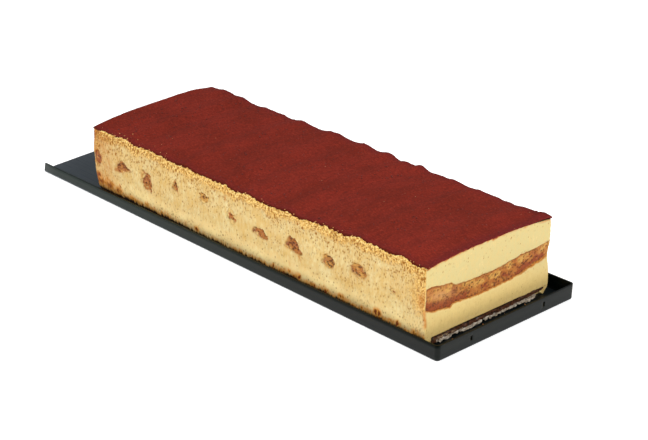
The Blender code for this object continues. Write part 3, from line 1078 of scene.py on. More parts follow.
    def make_lower(self) -> bpy.types.Object:
        """Builds the lower cream."""
        draft = Draft()
        share = np.linspace(0.0, 1.0, self.lower_rows + 1)[:, None]
        seam = self.bar.seam(self.walk.y)
        grid, _ = self.wall(draft, self.bar.foot + (seam - self.bar.foot) * share)
        self.cap(draft, grid[0], 4.0, lambda x, y: np.full(x.shape, self.bar.foot + 6.2))
        self.cap(draft, grid[-1], 4.0, lambda x, y: self.bar.seam(y) - 0.4)
        return draft.build("cream_lower", self.bar.to_parts)

    def spill(self) -> Array:
        """How far crumbs of cream reach in over the cocoa, in each column."""
        walk, grain = self.walk, self.grain
        reach = 1.1 + 0.9 * grain.rough(walk.run / 8.0, 6.5)
        reach = reach + 0.9 * bell(walk.x + 122.0, 30.0)
        reach = reach + 0.9 * grain.swell(walk.run / 1.5, 3.5)
        reach = reach + 0.6 * grain.swell(walk.run / 3.7, 7.5)
        return reach * fade(walk.x, -163.0, -153.0)

    def make_upper(self) -> bpy.types.Object:
        """Builds the upper cream, which rolls over its crumbly top edge and under the cocoa."""
        draft = Draft()
        walk, grain = self.walk, self.grain
        share = np.linspace(0.0, 1.0, self.upper_rows + 1)[:, None] ** 0.85
        torn = fade(-walk.ny, 0.45, 0.9)
        jag = 0.4 * grain.rough(walk.run / 9.0, 2.5)
        edge = self.bar.top(walk.x, walk.y) - self.cocoa_cut + torn * (self.cocoa_cut + jag - 0.5)
        seam = self.bar.seam(walk.y)
        grid, points = self.wall(draft, seam + (edge - seam) * share)
        dusted = fade(-walk.x + 2.0 * jag, 156.5, 160.0)
        last, row = points[-1], grid[-1]
        spill = self.spill()
        for inset in self.roll:
            place = last.copy()
            place[:, 0] -= walk.nx * inset
            place[:, 1] -= walk.ny * inset
            lump = self.crumbs(walk.run, edge + inset)
            gone = fade(inset, 0.0, 0.8) * fade(inset - spill, -0.7, 0.9)
            lift = torn * (0.6 * fade(inset, 0.0, 0.7) + 0.75 * lump - 0.35 - 2.3 * gone)
            sunk = (1.0 - torn) * (-0.25 * inset)
            surface = self.bar.top(place[:, 0], place[:, 1]) - self.bar.top(walk.x, walk.y)
            place[:, 2] = edge + lift + sunk + surface
            pit = fade(grain.rough(walk.run / 0.9, inset / 0.9, layers=2), 0.25, 0.7)
            crumbs = {"crumb": torn, "lump": torn * lump, "cut": 1.0 - torn, "pore": 0.6 * pit * torn}
            crumbs["stain"] = torn * (1.3 * dusted + 0.5 * fade(jag, 0.0, 0.25))
            new = draft.add(place, **crumbs)
            draft.skin(row, new, closed=True)
            row = new
        self.cap(draft, row, 6.0, lambda x, y: self.bar.top(x, y) - 2.6)
        self.cap(draft, grid[0], 4.0, lambda x, y: self.bar.seam(y) + 0.4)
        return draft.build("cream_upper", self.bar.to_parts)


# --- Ladyfingers --------------------------------------------------------------------------


@dataclass
class LadyfingerLayer:
    """The soaked ladyfingers: logs with porous ends, and two that the knife cut lengthwise.

    Attributes are millimetres unless they say otherwise.
    """

    fingers: Fingers
    creams: Creams
    around: int = 64
    end_rings: int = 16
    log_stations: int = 14
    sunk: float = 0.3
    overlap: float = 1.16
    squareness: float = 2.4
    face_cell: float = 0.5
    cut_depth: float = 11.0
    cut_margin: float = 1.5
    side_rings: int = 18

    def sponge(self, a: Array, b: Array, turn: float) -> tuple[Array, Array]:
        """Relief of torn, soaked sponge.

        Args:
            a: one coordinate along the surface.
            b: the other.
            turn: moves the pattern, so that no two ends are alike.

        Returns:
            Millimetres outwards, and how deep in a pore each point lies, from 0 to 1.
        """
        grain = self.creams.grain
        near, own = grain.cells(a / 1.9 + turn, b / 1.7 - turn)
        pore = fade(near / (0.3 + 0.34 * own), 1.0, 0.4) * (own > 0.5)
        fine, fine_own = grain.cells(a / 0.95 - turn, b / 0.9 + turn)
        small = fade(fine, 0.45, 0.15) * (fine_own > 0.6)
        lumps = 0.3 * grain.rough(a / 3.2 + turn, b / 2.4)
        return lumps - 0.75 * pore - 0.3 * small, np.maximum(pore, 0.6 * small)

    def end_cap(self, draft: Draft, index: int, back: bool) -> list[Array]:
        """Adds the rings of one end of a log, from its middle outwards."""
        bar, fingers = self.fingers.bar, self.fingers
        end = (fingers.back if back else fingers.front)[index]
        way = 1.0 if back else -1.0
        angle = 2.0 * np.pi * (np.arange(self.around) + 0.5) / self.around
        c, s = np.cos(angle), np.sin(angle)
        across = np.sign(c) * np.abs(c) ** (2.0 / self.squareness)
        up = np.sign(s) * np.abs(s) ** (2.0 / self.squareness)
        middle = fingers.middle_x(index)
        rings = []
        for scale in np.linspace(0.04, 1.0, self.end_rings) * self.overlap:
            x = middle + end.shift + across * end.width / 2 * scale
            z = (end.low + end.high) / 2 + up * (end.high - end.low) / 2 * scale
            run = x + bar.length / 2
            if back:
                run = bar.length + bar.width + bar.length / 2 - x
            wobble = self.creams.grain.rough(run / 2.6, z / 2.6, layers=2)
            level = end.level(x - middle, z, wobble)
            relief, pore = self.sponge(x, z, 0.37 * index + 5.0 * back)
            swell = np.where(back, fade(x, bar.length / 2 - bar.flare_length, bar.length / 2), 0.0)
            depth = self.sunk - (bar.flare - bar.pinch) * swell - relief
            y = way * (bar.width / 2 - depth - 0.5 * fade(level, 0.8, 1.1))
            patch = self.creams.grain.rough(x / 3.4 + index, z / 2.6)
            smear = self.creams.grain.rough(x / 4.5 - index, z / 3.0 + 9.0)
            covered = fade(smear + 0.9 * level, 1.25 - end.veil, 1.6 - end.veil)
            marks = {
                "tone": end.tone + 0.5 * patch,
                "rim": fade(level, 0.5, 0.9) * fade(patch, -0.1, 0.5) * (1.0 - end.veil),
                "pore": pore,
                "veil": np.maximum(fade(level + 0.3 * patch, 0.86, 1.1) * 0.8, covered),
                "pale": 0.8 * fade(patch, 0.2, 0.7) * (1.0 - 0.6 * end.tone),
            }
            rings.append(draft.add(np.stack([x, y, z], -1), **marks))
        return rings

    def make_log(self, index: int) -> bpy.types.Object:
        """Builds a finger that lies across the bar with both ends whole."""
        draft = Draft()
        front = self.end_cap(draft, index, back=False)
        back = self.end_cap(draft, index, back=True)
        half = self.fingers.bar.width / 2 - 1.8
        angle = 2.0 * np.pi * (np.arange(self.around) + 0.5) / self.around
        c, s = np.cos(angle), np.sin(angle)
        rows = list(front)
        for step in range(1, self.log_stations):
            y = half * np.sin(math.pi * (step / self.log_stations - 0.5))
            x, z, wide, high = self.fingers.section(index, y)
            px = x + wide * np.sign(c) * np.abs(c) ** (2.0 / 2.5)
            pz = z + high * np.sign(s) * np.abs(s) ** (2.0 / 2.5)
            rows.append(draft.add(np.stack([px, np.full(self.around, y), pz], -1), tone=0.5))
        rows += back[::-1]
        for near, far in zip(rows, rows[1:]):
            draft.skin(near, far, closed=True)
        for ring in (rows[0], rows[-1]):
            fan = [(ring[0], ring[k], ring[k + 1]) for k in range(1, self.around - 1)]
            draft.faces.append(np.array(fan))
        return draft.build(f"soaked_finger_{index + 1:02d}", self.fingers.bar.to_parts)

    def make_cut(self, index: int) -> bpy.types.Object:
        """Builds a finger that the knife cut along its length at the bar's end."""
        draft = Draft()
        bar, fingers = self.fingers.bar, self.fingers
        way = 1.0 if index else -1.0
        y = np.arange(-54.3, 55.4, self.face_cell)
        share = np.linspace(-1.0, 1.0, 35)
        middle, mid_z, half_width, half_height = fingers.section(index, y)
        plane = way * (bar.length / 2 - bar.end_bulge)
        off = np.clip(np.abs(plane - middle) / half_width, 0.0, 1.0)
        half = half_height * (1.0 - off**2.5) ** 0.4 + self.creams.hump(y)
        half = half + self.cut_margin + 1.2 * bell(y - 27.0, 14.0)
        half = half * np.sqrt(np.clip(1.0 - np.clip((-50.3 - y) / 4.1, 0.0, 1.0) ** 2, 0.02, 1.0))
        gy, up = y[:, None] + 0.0 * share, half[:, None] * share
        gz = mid_z[:, None] + up
        relief, pore = self.sponge(gy, gz, 2.3 + index)
        inside = self.creams.band_depth(index, gy, gz)
        bend = bar.end_inset(way, gz)
        x = way * (bar.length / 2 - bend - 0.5 + 0.7 * relief - 0.4 * fade(inside, 0.7, -0.2))
        surface = np.stack([x, gy, gz], -1)
        face = draft.add(surface, **self.cut_marks(gy, gz, up, inside, pore))
        draft.sheet(face)
        row = self.cut_sides(draft, ring_round(face), surface, way)
        inmost = way * (np.abs(x).min() - self.cut_depth)
        hub = draft.add(np.array([[inmost, 0.0, fingers.middle]]), tone=0.5)
        count = len(row)
        fan = [(row[k], row[(k + 1) % count], hub[0]) for k in range(count)]
        draft.faces.append(np.array(fan))
        return draft.build(f"soaked_finger_{index + 1:02d}", bar.to_parts)

    def cut_marks(self, y: Array, z: Array, up: Array, inside: Array, pore: Array) -> dict[str, Array]:
        """What colours the face of a cut finger.

        Args:
            y: place across the bar.
            z: height.
            up: height over the finger's middle.
            inside: how far each point lies inside the finger's border.
            pore: how deep it lies in a pore.

        Returns:
            The marks that the material reads.
        """
        patch = bell(y + 40.0, 11.0) * bell(up - 1.2, 3.6)
        foot = fade(up, -1.0, -4.5) * fade(y, -16.0, -30.0)
        bruise = bell(y + 30.0, 3.0) * bell(z - 31.0, 1.6)
        crowd = bell(y - 37.0, 6.0) * bell(up - 1.0, 3.0)
        cloud = self.creams.grain.rough(y / 5.0, z / 3.0)
        sunk = 0.2 * crowd + 0.4 * fade(up, 2.5, -4.5)
        return {
            "tone": np.clip(0.36 + 0.7 * cloud + 0.5 * foot + 0.6 * bruise + sunk, 0.0, 1.2),
            "rim": fade(inside, 1.3, 0.1) * 0.8,
            "pore": np.clip(pore * (0.75 + 0.6 * crowd) * (1.0 - 0.5 * patch), 0.0, 1.0),
            "pale": np.clip(0.95 * patch * (0.8 + 0.5 * cloud), 0.0, 1.0),
            "amber": fade(inside, 1.6, 0.2) * fade(up, 0.0, -3.0) * fade(y, 34.0, 44.0),
        }

    def cut_sides(self, draft: Draft, ring: Array, surface: Array, way: float) -> Array:
        """Carries a cut face's border into the bar.

        Args:
            draft: the finger's mesh.
            ring: the border's indices, which are also places in the surface.
            surface: the cut face's points.
            way: 1 for the right end and -1 for the left.

        Returns:
            The last ring's indices.
        """
        grain = self.creams.grain
        edge = surface.reshape(-1, 3)[ring]
        for inset in np.linspace(0.6, self.cut_depth, self.side_rings):
            points = edge.copy()
            points[:, 0] -= way * inset
            x, y, z = points.T
            blot = grain.rough(x / 2.6, z / 2.4)
            front = fade(y, -44.0, -50.0) * (way < 0.0)
            near, own = grain.cells(x / 1.5, z / 1.5)
            hole = fade(near, 0.42, 0.2) * (own > 0.5) * front
            tone = 0.5 + front * (0.25 + 0.8 * blot)
            new = draft.add(points, tone=tone, rim=0.5 * fade(blot, -0.2, 0.4), pore=hole)
            draft.skin(ring, new, closed=True)
            ring = new
        return ring

    def make(self, finish: bpy.types.Material) -> None:
        """Builds all twelve fingers."""
        last = len(self.fingers.front) - 1
        for index in range(last + 1):
            piece = self.make_cut(index) if index in (0, last) else self.make_log(index)
            hand_over(piece, finish, [f"ladyfinger_{index + 1:02d}"])


# --- Cocoa --------------------------------------------------------------------------------


@dataclass
class CocoaTop:
    """The dusted cocoa: ripples, grain, soft lumps and a ragged edge along the long sides.

    Attributes are millimetres unless they say otherwise.
    """

    bar: Bar
    cells: tuple[int, int] = (480, 160)
    cap_ratio: int = 8
    seed: int = 23
    thickness: float = 0.75
    dip: float = 1.2
    front_gap: float = 1.3
    fold: tuple[float, float, float] = (156.0, 53.0, 1.5)
    humps: tuple[tuple[float, float, float], ...] = (
        (-150.0, 12.0, 1.6),
        (-33.0, 7.0, 1.8),
        (-5.0, 14.0, 1.7),
        (23.0, 7.0, 3.0),
        (53.0, 5.5, 3.4),
        (88.0, 10.0, 1.4),
        (118.0, 9.0, 1.0),
        (160.0, 4.5, 2.4),
    )

    def gap(self, x: Array) -> Array:
        """How far the cocoa stays off the front side, which it reaches at the left corner."""
        return 0.15 + (self.front_gap - 0.15) * fade(x, -162.0, -151.0)

    def surface(self, x: Array, y: Array) -> tuple[Array, dict[str, Array]]:
        """Height of the cocoa and the marks its material reads."""
        grain = Grain(self.seed)
        z = self.bar.top(x, y)
        wave = grain.rough(x / 19.0, y / 60.0, layers=2)
        soft = grain.rough(x / 5.0, y / 7.0)
        near, own = grain.cells(x / 5.5, y / 5.5)
        lump = fade(near / (0.12 + 0.16 * own), 1.0, 0.1) * (own > 0.72)
        z = z + 0.4 * wave + 0.16 * soft + 0.1 * grain.rough(x / 1.6, y / 2.2, layers=2) + 0.35 * lump
        side = np.abs(y) - self.bar.width / 2
        crest = fade(side, -7.0, -1.0) * np.where(y > 0.0, 1.0, 0.25)
        z = z + 0.7 * crest * grain.rough(x / 6.5, 3.3, layers=2)
        raised = sum(high * bell(x - middle, reach) for middle, reach, high in self.humps)
        z = z + raised * fade(side, -19.0, -4.0) * (y > 0.0)
        spot_x, spot_y, high = self.fold
        crease = bell(x - spot_x, 6.5) * bell(y - spot_y, 2.6)
        z = z + crease * (high + 0.9 * grain.swell(x / 1.9, y / 1.7))
        gap = self.gap(x)
        z = z - self.dip * fade(-side - gap, 1.2, 0.0) * (y < 0.0) * np.clip(gap, 0.3, 1.0)
        z = z - 0.3 * fade(-side, 1.0, 0.0) * (y > 0.0)
        marks = {
            "near_edge": np.maximum(fade(-side, 9.0, 0.5), fade(self.bar.length / 2 - x, 12.0, 1.0)),
            "crease": crease,
            # brink: where the painted shadow along the front edge lies, in the dip between cocoa and cream.
            "brink": fade(-side - gap, 1.9, 0.3) * (y < 0.0),
        }
        return z, marks

    def make(self, finish: bpy.types.Material) -> None:
        """Builds the cocoa layer."""
        draft = Draft()
        half_x, half_y = self.bar.length / 2, self.bar.width / 2
        u, v = np.meshgrid(
            np.linspace(-1.0, 1.0, self.cells[0] + 1),
            np.linspace(-1.0, 1.0, self.cells[1] + 1),
            indexing="ij",
        )
        v = v + (1.0 - v) / 2 * self.gap(u * half_x) / half_y
        z, marks = self.surface(u * half_x, v * half_y)
        x, y = self.bar.plan(u, v, z)
        grid = draft.add(np.stack([x, y, z], -1), **marks)
        draft.sheet(grid)
        ring = ring_round(grid)
        around = np.stack([x, y, z], -1).reshape(-1, 3)[ring]
        at_end = np.abs(around[:, 0]) > half_x - 0.01
        ragged = 1.0 + 0.7 * Grain(self.seed).rough(around[:, 0] / 1.9, around[:, 1] / 1.9, layers=2)
        for down, in_by in ((0.35, -0.12), (0.75, 0.0), (1.3, 0.9), (1.6, 2.4)):
            down = down * ragged
            under = around.copy()
            under[:, 0] *= 1.0 - in_by / half_x
            under[:, 1] *= 1.0 - in_by / half_y
            under[:, 2] -= np.where(at_end | (around[:, 1] > 0.0), down, 0.4 * down)
            new = draft.add(under, near_edge=1.0)
            draft.skin(ring, new, closed=True)
            ring = new
        cells = (self.cells[0] // self.cap_ratio, self.cells[1] // self.cap_ratio)
        coarse_cap(draft, ring, (half_x - 5.0, half_y - 5.0), cells, lambda a, b: self.bar.top(a, b) - 2.2)
        piece = draft.build("cocoa_dusting", self.bar.to_parts)
        hand_over(piece, finish, ["cocoa_layer"])


# --- Biscuit base -------------------------------------------------------------------------


@dataclass
class BiscuitBase:
    """The thin broken biscuit and the chocolate on it, which show at the knife-cut ends.

    Attributes are millimetres unless they say otherwise.
    """

    bar: Bar
    seed: int = 31
    cell: float = 0.4
    rows: int = 8

    def make_layer(
        self,
        name: str,
        span: tuple[float, float],
        edges: Callable[[Array, float], tuple[Array, Array]],
        face: Callable[[Array, Array, float], tuple[Array, dict[str, Array]]],
    ) -> bpy.types.Object:
        """Builds one layer from its two end faces.

        Args:
            name: the object's name.
            span: the lowest and highest y.
            edges: gives the bottom and the top along y, for the end at +1 or -1.
            face: gives how far in the end face lies, and its marks.

        Returns:
            The layer.
        """
        draft = Draft()
        bar_left = self.bar.left_tuck
        y = np.arange(span[0], span[1] + self.cell, self.cell)
        share = np.linspace(0.0, 1.0, self.rows + 1)
        rings = []
        for way in (1.0, -1.0):
            low, high = edges(y, way)
            gy = y[:, None] + 0.0 * share
            gz = low[:, None] + (high - low)[:, None] * share
            inset, marks = face(gy, gz, way)
            inset = inset + bar_left * (way < 0.0)
            points = np.stack([way * (self.bar.length / 2 - inset), gy, gz], -1)
            grid = draft.add(points, **marks)
            draft.sheet(grid)
            ring = ring_round(grid)
            around = points.reshape(-1, 3)[ring - grid.flat[0]]
            for back in (0.6, 1.4, 4.0):
                under = around.copy()
                under[:, 0] -= way * back
                new = draft.add(under)
                draft.skin(ring, new, closed=True)
                ring = new
            rings.append(ring)
        draft.skin(rings[0], rings[1], closed=True)
        return draft.build(name, self.bar.to_parts)

    def make_chocolate(self, finish: bpy.types.Material) -> None:
        """Builds the lumpy chocolate layer."""
        grain = Grain(self.seed)

        def edges(y: Array, way: float) -> tuple[Array, Array]:
            """Bottom and top of the layer."""
            turn = way * 3.5
            rise = 1.3 * fade(y, 25.0, 50.0)
            blob = fade(y, -41.0, -46.0)
            low = 3.9 + rise + 0.35 * grain.rough(y / 3.0, turn) - 1.5 * blob
            high = 6.6 + 0.8 * rise + 0.4 * grain.rough(y / 4.0, turn + 3.0) + 0.5 * blob
            taper = fade(y, -49.4, -47.0) * fade(y, 53.0, 49.0)
            middle = (low + high) / 2
            return middle - (middle - low) * taper, middle + (high - middle) * taper

        def face(y: Array, z: Array, way: float) -> tuple[Array, dict[str, Array]]:
            """Lumps on the end face, and a thin painted highlight line."""
            near, own = grain.cells(y / 2.4 + way, z / 1.6)
            lump = np.clip(1.0 - near**2 * 1.6, 0.0, 1.0)
            # Painted highlight: a thin light line across the chocolate near its front.
            glint = bell(y + 36.0, 6.0) * bell(z - 4.9, 0.5) * (own > 0.3)
            inset = 0.75 - 0.75 * lump - 0.4 * grain.rough(y / 5.0, z / 3.0)
            return inset, {"lump": lump, "caramel": glint}

        piece = self.make_layer("chocolate_layer", (-49.4, 53.0), edges, face)
        hand_over(piece, finish, ["chocolate_film"])

    def make_biscuit(self, finish: bpy.types.Material) -> None:
        """Builds the pale, broken biscuit."""
        grain = Grain(self.seed + 1)

        def edges(y: Array, way: float) -> tuple[Array, Array]:
            """Bottom and top of the biscuit, worn away in places."""
            turn = way * 2.5
            worn = 1.6 * fade(grain.rough(y / 5.0, turn), 0.0, 0.4)
            gap = np.maximum(bell(y + 3.4, 1.7), 0.8 * bell(y - 1.6, 0.8))
            ragged = np.maximum(0.0, grain.rough(y / 1.3, turn + 5.0, layers=2))
            low = 1.45 + 0.7 * worn + 0.7 * ragged + 2.2 * np.clip(gap, 0.0, 1.0)
            high = 4.15 + 0.3 * grain.rough(y / 2.0, turn + 9.0)
            return np.minimum(low, high - 0.25), high

        def face(y: Array, z: Array, way: float) -> tuple[Array, dict[str, Array]]:
            """Crumbs on the end face."""
            near, own = grain.cells(y / 1.9 + way, z / 0.9)
            inset = 0.5 - 0.5 * np.clip(1.0 - near**2 * 1.8, 0.0, 1.0) * own
            inset = inset + 0.9 * grain.rough(y / 3.4, z / 1.5)
            return inset, {"lump": own, "pore": fade(near, 0.35, 0.75)}

        piece = self.make_layer("broken_biscuit", (-46.5, 45.5), edges, face)
        hand_over(piece, finish, ["base_biscuit"])


# --- Loose crumbs and grains --------------------------------------------------------------


class Litter(Enum):
    """What lies loose on the bar and the tray."""

    CREAM = "cream_crumbs"
    COCOA = "cocoa_clumps"

    @property
    def slot(self) -> str:
        """The first word of the kind's name, cream or cocoa."""
        return self.value.split("_")[0]


@dataclass
class Scatter:
    """Loose bits of one kind, strewn over a hidden sheet by Geometry Nodes.

    Attributes:
        litter: the kind.
        small: the smallest bit's radius, in millimetres.
        large: the largest bit's radius, in millimetres.
        density: bits for each square centimetre where the sheet's chance is 1.
        detail: how often each bit's ball is divided.
        rough: how uneven a bit is, as a share of its radius.
        seed: picks the places.
    """

    litter: Litter
    small: float
    large: float
    density: float
    detail: int = 2
    rough: float = 0.5
    seed: int = 5

    def make_tree(self, finish: bpy.types.Material) -> tuple[bpy.types.NodeTree, dict[str, str]]:
        """Builds the node tree.

        Args:
            finish: the bits' material.

        Returns:
            The tree, and each named input's identifier.
        """
        tree = bpy.data.node_groups.new(f"{self.litter.value}_strewn", "GeometryNodeTree")
        face = tree.interface
        face.new_socket("Sheet", in_out="INPUT", socket_type="NodeSocketGeometry")
        names = {"Smallest": "Float", "Largest": "Float", "Density": "Float", "Seed": "Int"}
        ids = {
            name: face.new_socket(name, in_out="INPUT", socket_type=f"NodeSocket{kind}").identifier
            for name, kind in names.items()
        }
        face.new_socket("Bits", in_out="OUTPUT", socket_type="NodeSocketGeometry")
        bench = Bench(tree)
        given = bench.node("NodeGroupInput").outputs
        chance = bench.node(
            "GeometryNodeInputNamedAttribute", {"data_type": "FLOAT"}, "chance"
        ).outputs[0]
        density = Value(bench, given["Density"]) * Value(bench, chance)
        places = bench.node(
            "GeometryNodeDistributePointsOnFaces", None, Mesh=given["Sheet"], Seed=given["Seed"]
        )
        bench.feed(places.inputs["Density"], density)
        ball = bench.node("GeometryNodeMeshIcoSphere", None, Radius=1.0, Subdivisions=self.detail)
        where = bench.node("GeometryNodeInputPosition").outputs[0]
        lumps = bench.node("ShaderNodeTexNoise", None, Vector=where, Scale=1.1, Detail=2.0)
        swell = Value(bench, lumps.outputs[0]) * (2.0 * self.rough) - self.rough
        push = bench.node("ShaderNodeVectorMath", {"operation": "SCALE"}, where, Scale=swell)
        lumpy = bench.node(
            "GeometryNodeSetPosition", None, Geometry=ball.outputs[0], Offset=push.outputs[0]
        )
        size = bench.node("FunctionNodeRandomValue", {"data_type": "FLOAT"})
        bench.feed(size.inputs[2], given["Smallest"])
        bench.feed(size.inputs[3], given["Largest"])
        bench.feed(size.inputs["Seed"], given["Seed"])
        turn = bench.node("FunctionNodeRandomValue", {"data_type": "FLOAT_VECTOR"})
        turn.inputs[1].default_value = (2.0 * math.pi,) * 3
        bits = bench.node(
            "GeometryNodeInstanceOnPoints",
            None,
            Points=places.outputs["Points"],
            Instance=lumpy.outputs[0],
            Rotation=turn.outputs[0],
            Scale=size.outputs[1],
        )
        made = bench.node("GeometryNodeRealizeInstances", None, bits.outputs[0])
        dressed = bench.node("GeometryNodeSetMaterial", None, Geometry=made.outputs[0])
        dressed.inputs["Material"].default_value = finish
        bench.node("NodeGroupOutput", None, dressed.outputs[0])
        return tree, ids

    def strew(self, sheet: Draft, place: Callable[[Array], Array], finish: bpy.types.Material) -> None:
        """Strews the bits over a sheet and hands them over as one piece.

        Args:
            sheet: the surface they lie on, with the mark `chance` on its points.
            place: turns its millimetres into metres in the parts' frame.
            finish: the bits' material.
        """
        piece = sheet.build(self.litter.value, place, solid=False)
        tree, ids = self.make_tree(finish)
        maker = piece.modifiers.new("strewn", "NODES")
        maker.node_group = tree
        maker[ids["Smallest"]] = self.small * MM
        maker[ids["Largest"]] = self.large * MM
        maker[ids["Density"]] = self.density * 1e4
        maker[ids["Seed"]] = self.seed
        settle(piece)
        piece.data.shade_smooth()
        hand_over(piece, finish)


@dataclass
class LooseBits:
    """Crumbs of cream along the front edge and on the tray, and clumps of cocoa on the top."""

    bar: Bar
    tray_floor: float = 1.1
    cell: float = 1.5
    seed: int = 41

    def sheet(
        self,
        x_span: tuple[float, float],
        y_span: tuple[float, float],
        height: Callable[..., Array],
        chance: Callable[..., Array],
        draft: Draft | None = None,
    ) -> Draft:
        """A grid over part of the plan, with its height and chance worked out from x and y."""
        draft = draft or Draft()
        x, y = np.meshgrid(
            np.arange(*x_span, self.cell), np.arange(*y_span, self.cell), indexing="ij"
        )
        grid = draft.add(np.stack([x, y, height(x, y)], -1), chance=chance(x, y))
        draft.sheet(grid)
        return draft

    def make(self, crumb: bpy.types.Material, cocoa: bpy.types.Material) -> None:
        """Strews both kinds."""
        bar = self.bar
        grain = Grain(self.seed)
        half_x, half_y = bar.length / 2, bar.width / 2

        def over_top(x: Array, y: Array) -> Array:
            """A little over the cocoa."""
            return bar.top(x, y) + 0.1

        def near_front(x: Array, y: Array) -> Array:
            """Thick at the front edge, more so towards the left."""
            inside = y + half_y
            reach = 0.9 + 1.7 * bell(x + 122.0, 34.0) + 0.5 * grain.rough(x / 12.0, y * 0.0)
            return np.clip(np.exp(-inside / reach) * (0.5 + 1.2 * grain.rough(x / 7.0, y / 5.0)), 0.0, 1.0)

        def on_tray(x: Array, y: Array) -> Array:
            """A few round the bar's foot."""
            off = np.maximum(x - half_x, -half_x - x)
            return 0.05 * np.exp(-np.clip(off - 0.5, 0.0, None) / 5.0)

        along = (-half_x + 1.0, half_x - 1.0)
        crumbs = self.sheet(along, (-half_y + 0.6, -half_y + 16.0), over_top, near_front)
        for span in ((half_x + 0.6, half_x + 12.0), (-half_x - 14.0, -half_x - 0.6)):
            self.sheet(span, (-half_y + 3.0, half_y - 3.0), self.floor, on_tray, crumbs)
        Scatter(Litter.CREAM, 0.18, 0.44, 40.0).strew(crumbs, bar.to_parts, crumb)

        def everywhere(x: Array, y: Array) -> Array:
            """Thin all over, thicker along the back edge."""
            return 0.25 + 0.75 * fade(y, half_y - 7.0, half_y - 1.0) + 0.3 * grain.rough(x / 9.0, y / 9.0)

        clumps = self.sheet(along, (-half_y + 2.0, half_y - 0.5), over_top, everywhere)
        Scatter(Litter.COCOA, 0.2, 0.6, 7.0, rough=0.6, seed=9).strew(clumps, bar.to_parts, cocoa)

    def floor(self, x: Array, y: Array) -> Array:
        """The tray's floor."""
        return np.full(x.shape, self.tray_floor + 0.15)


# --- Tray ---------------------------------------------------------------------------------


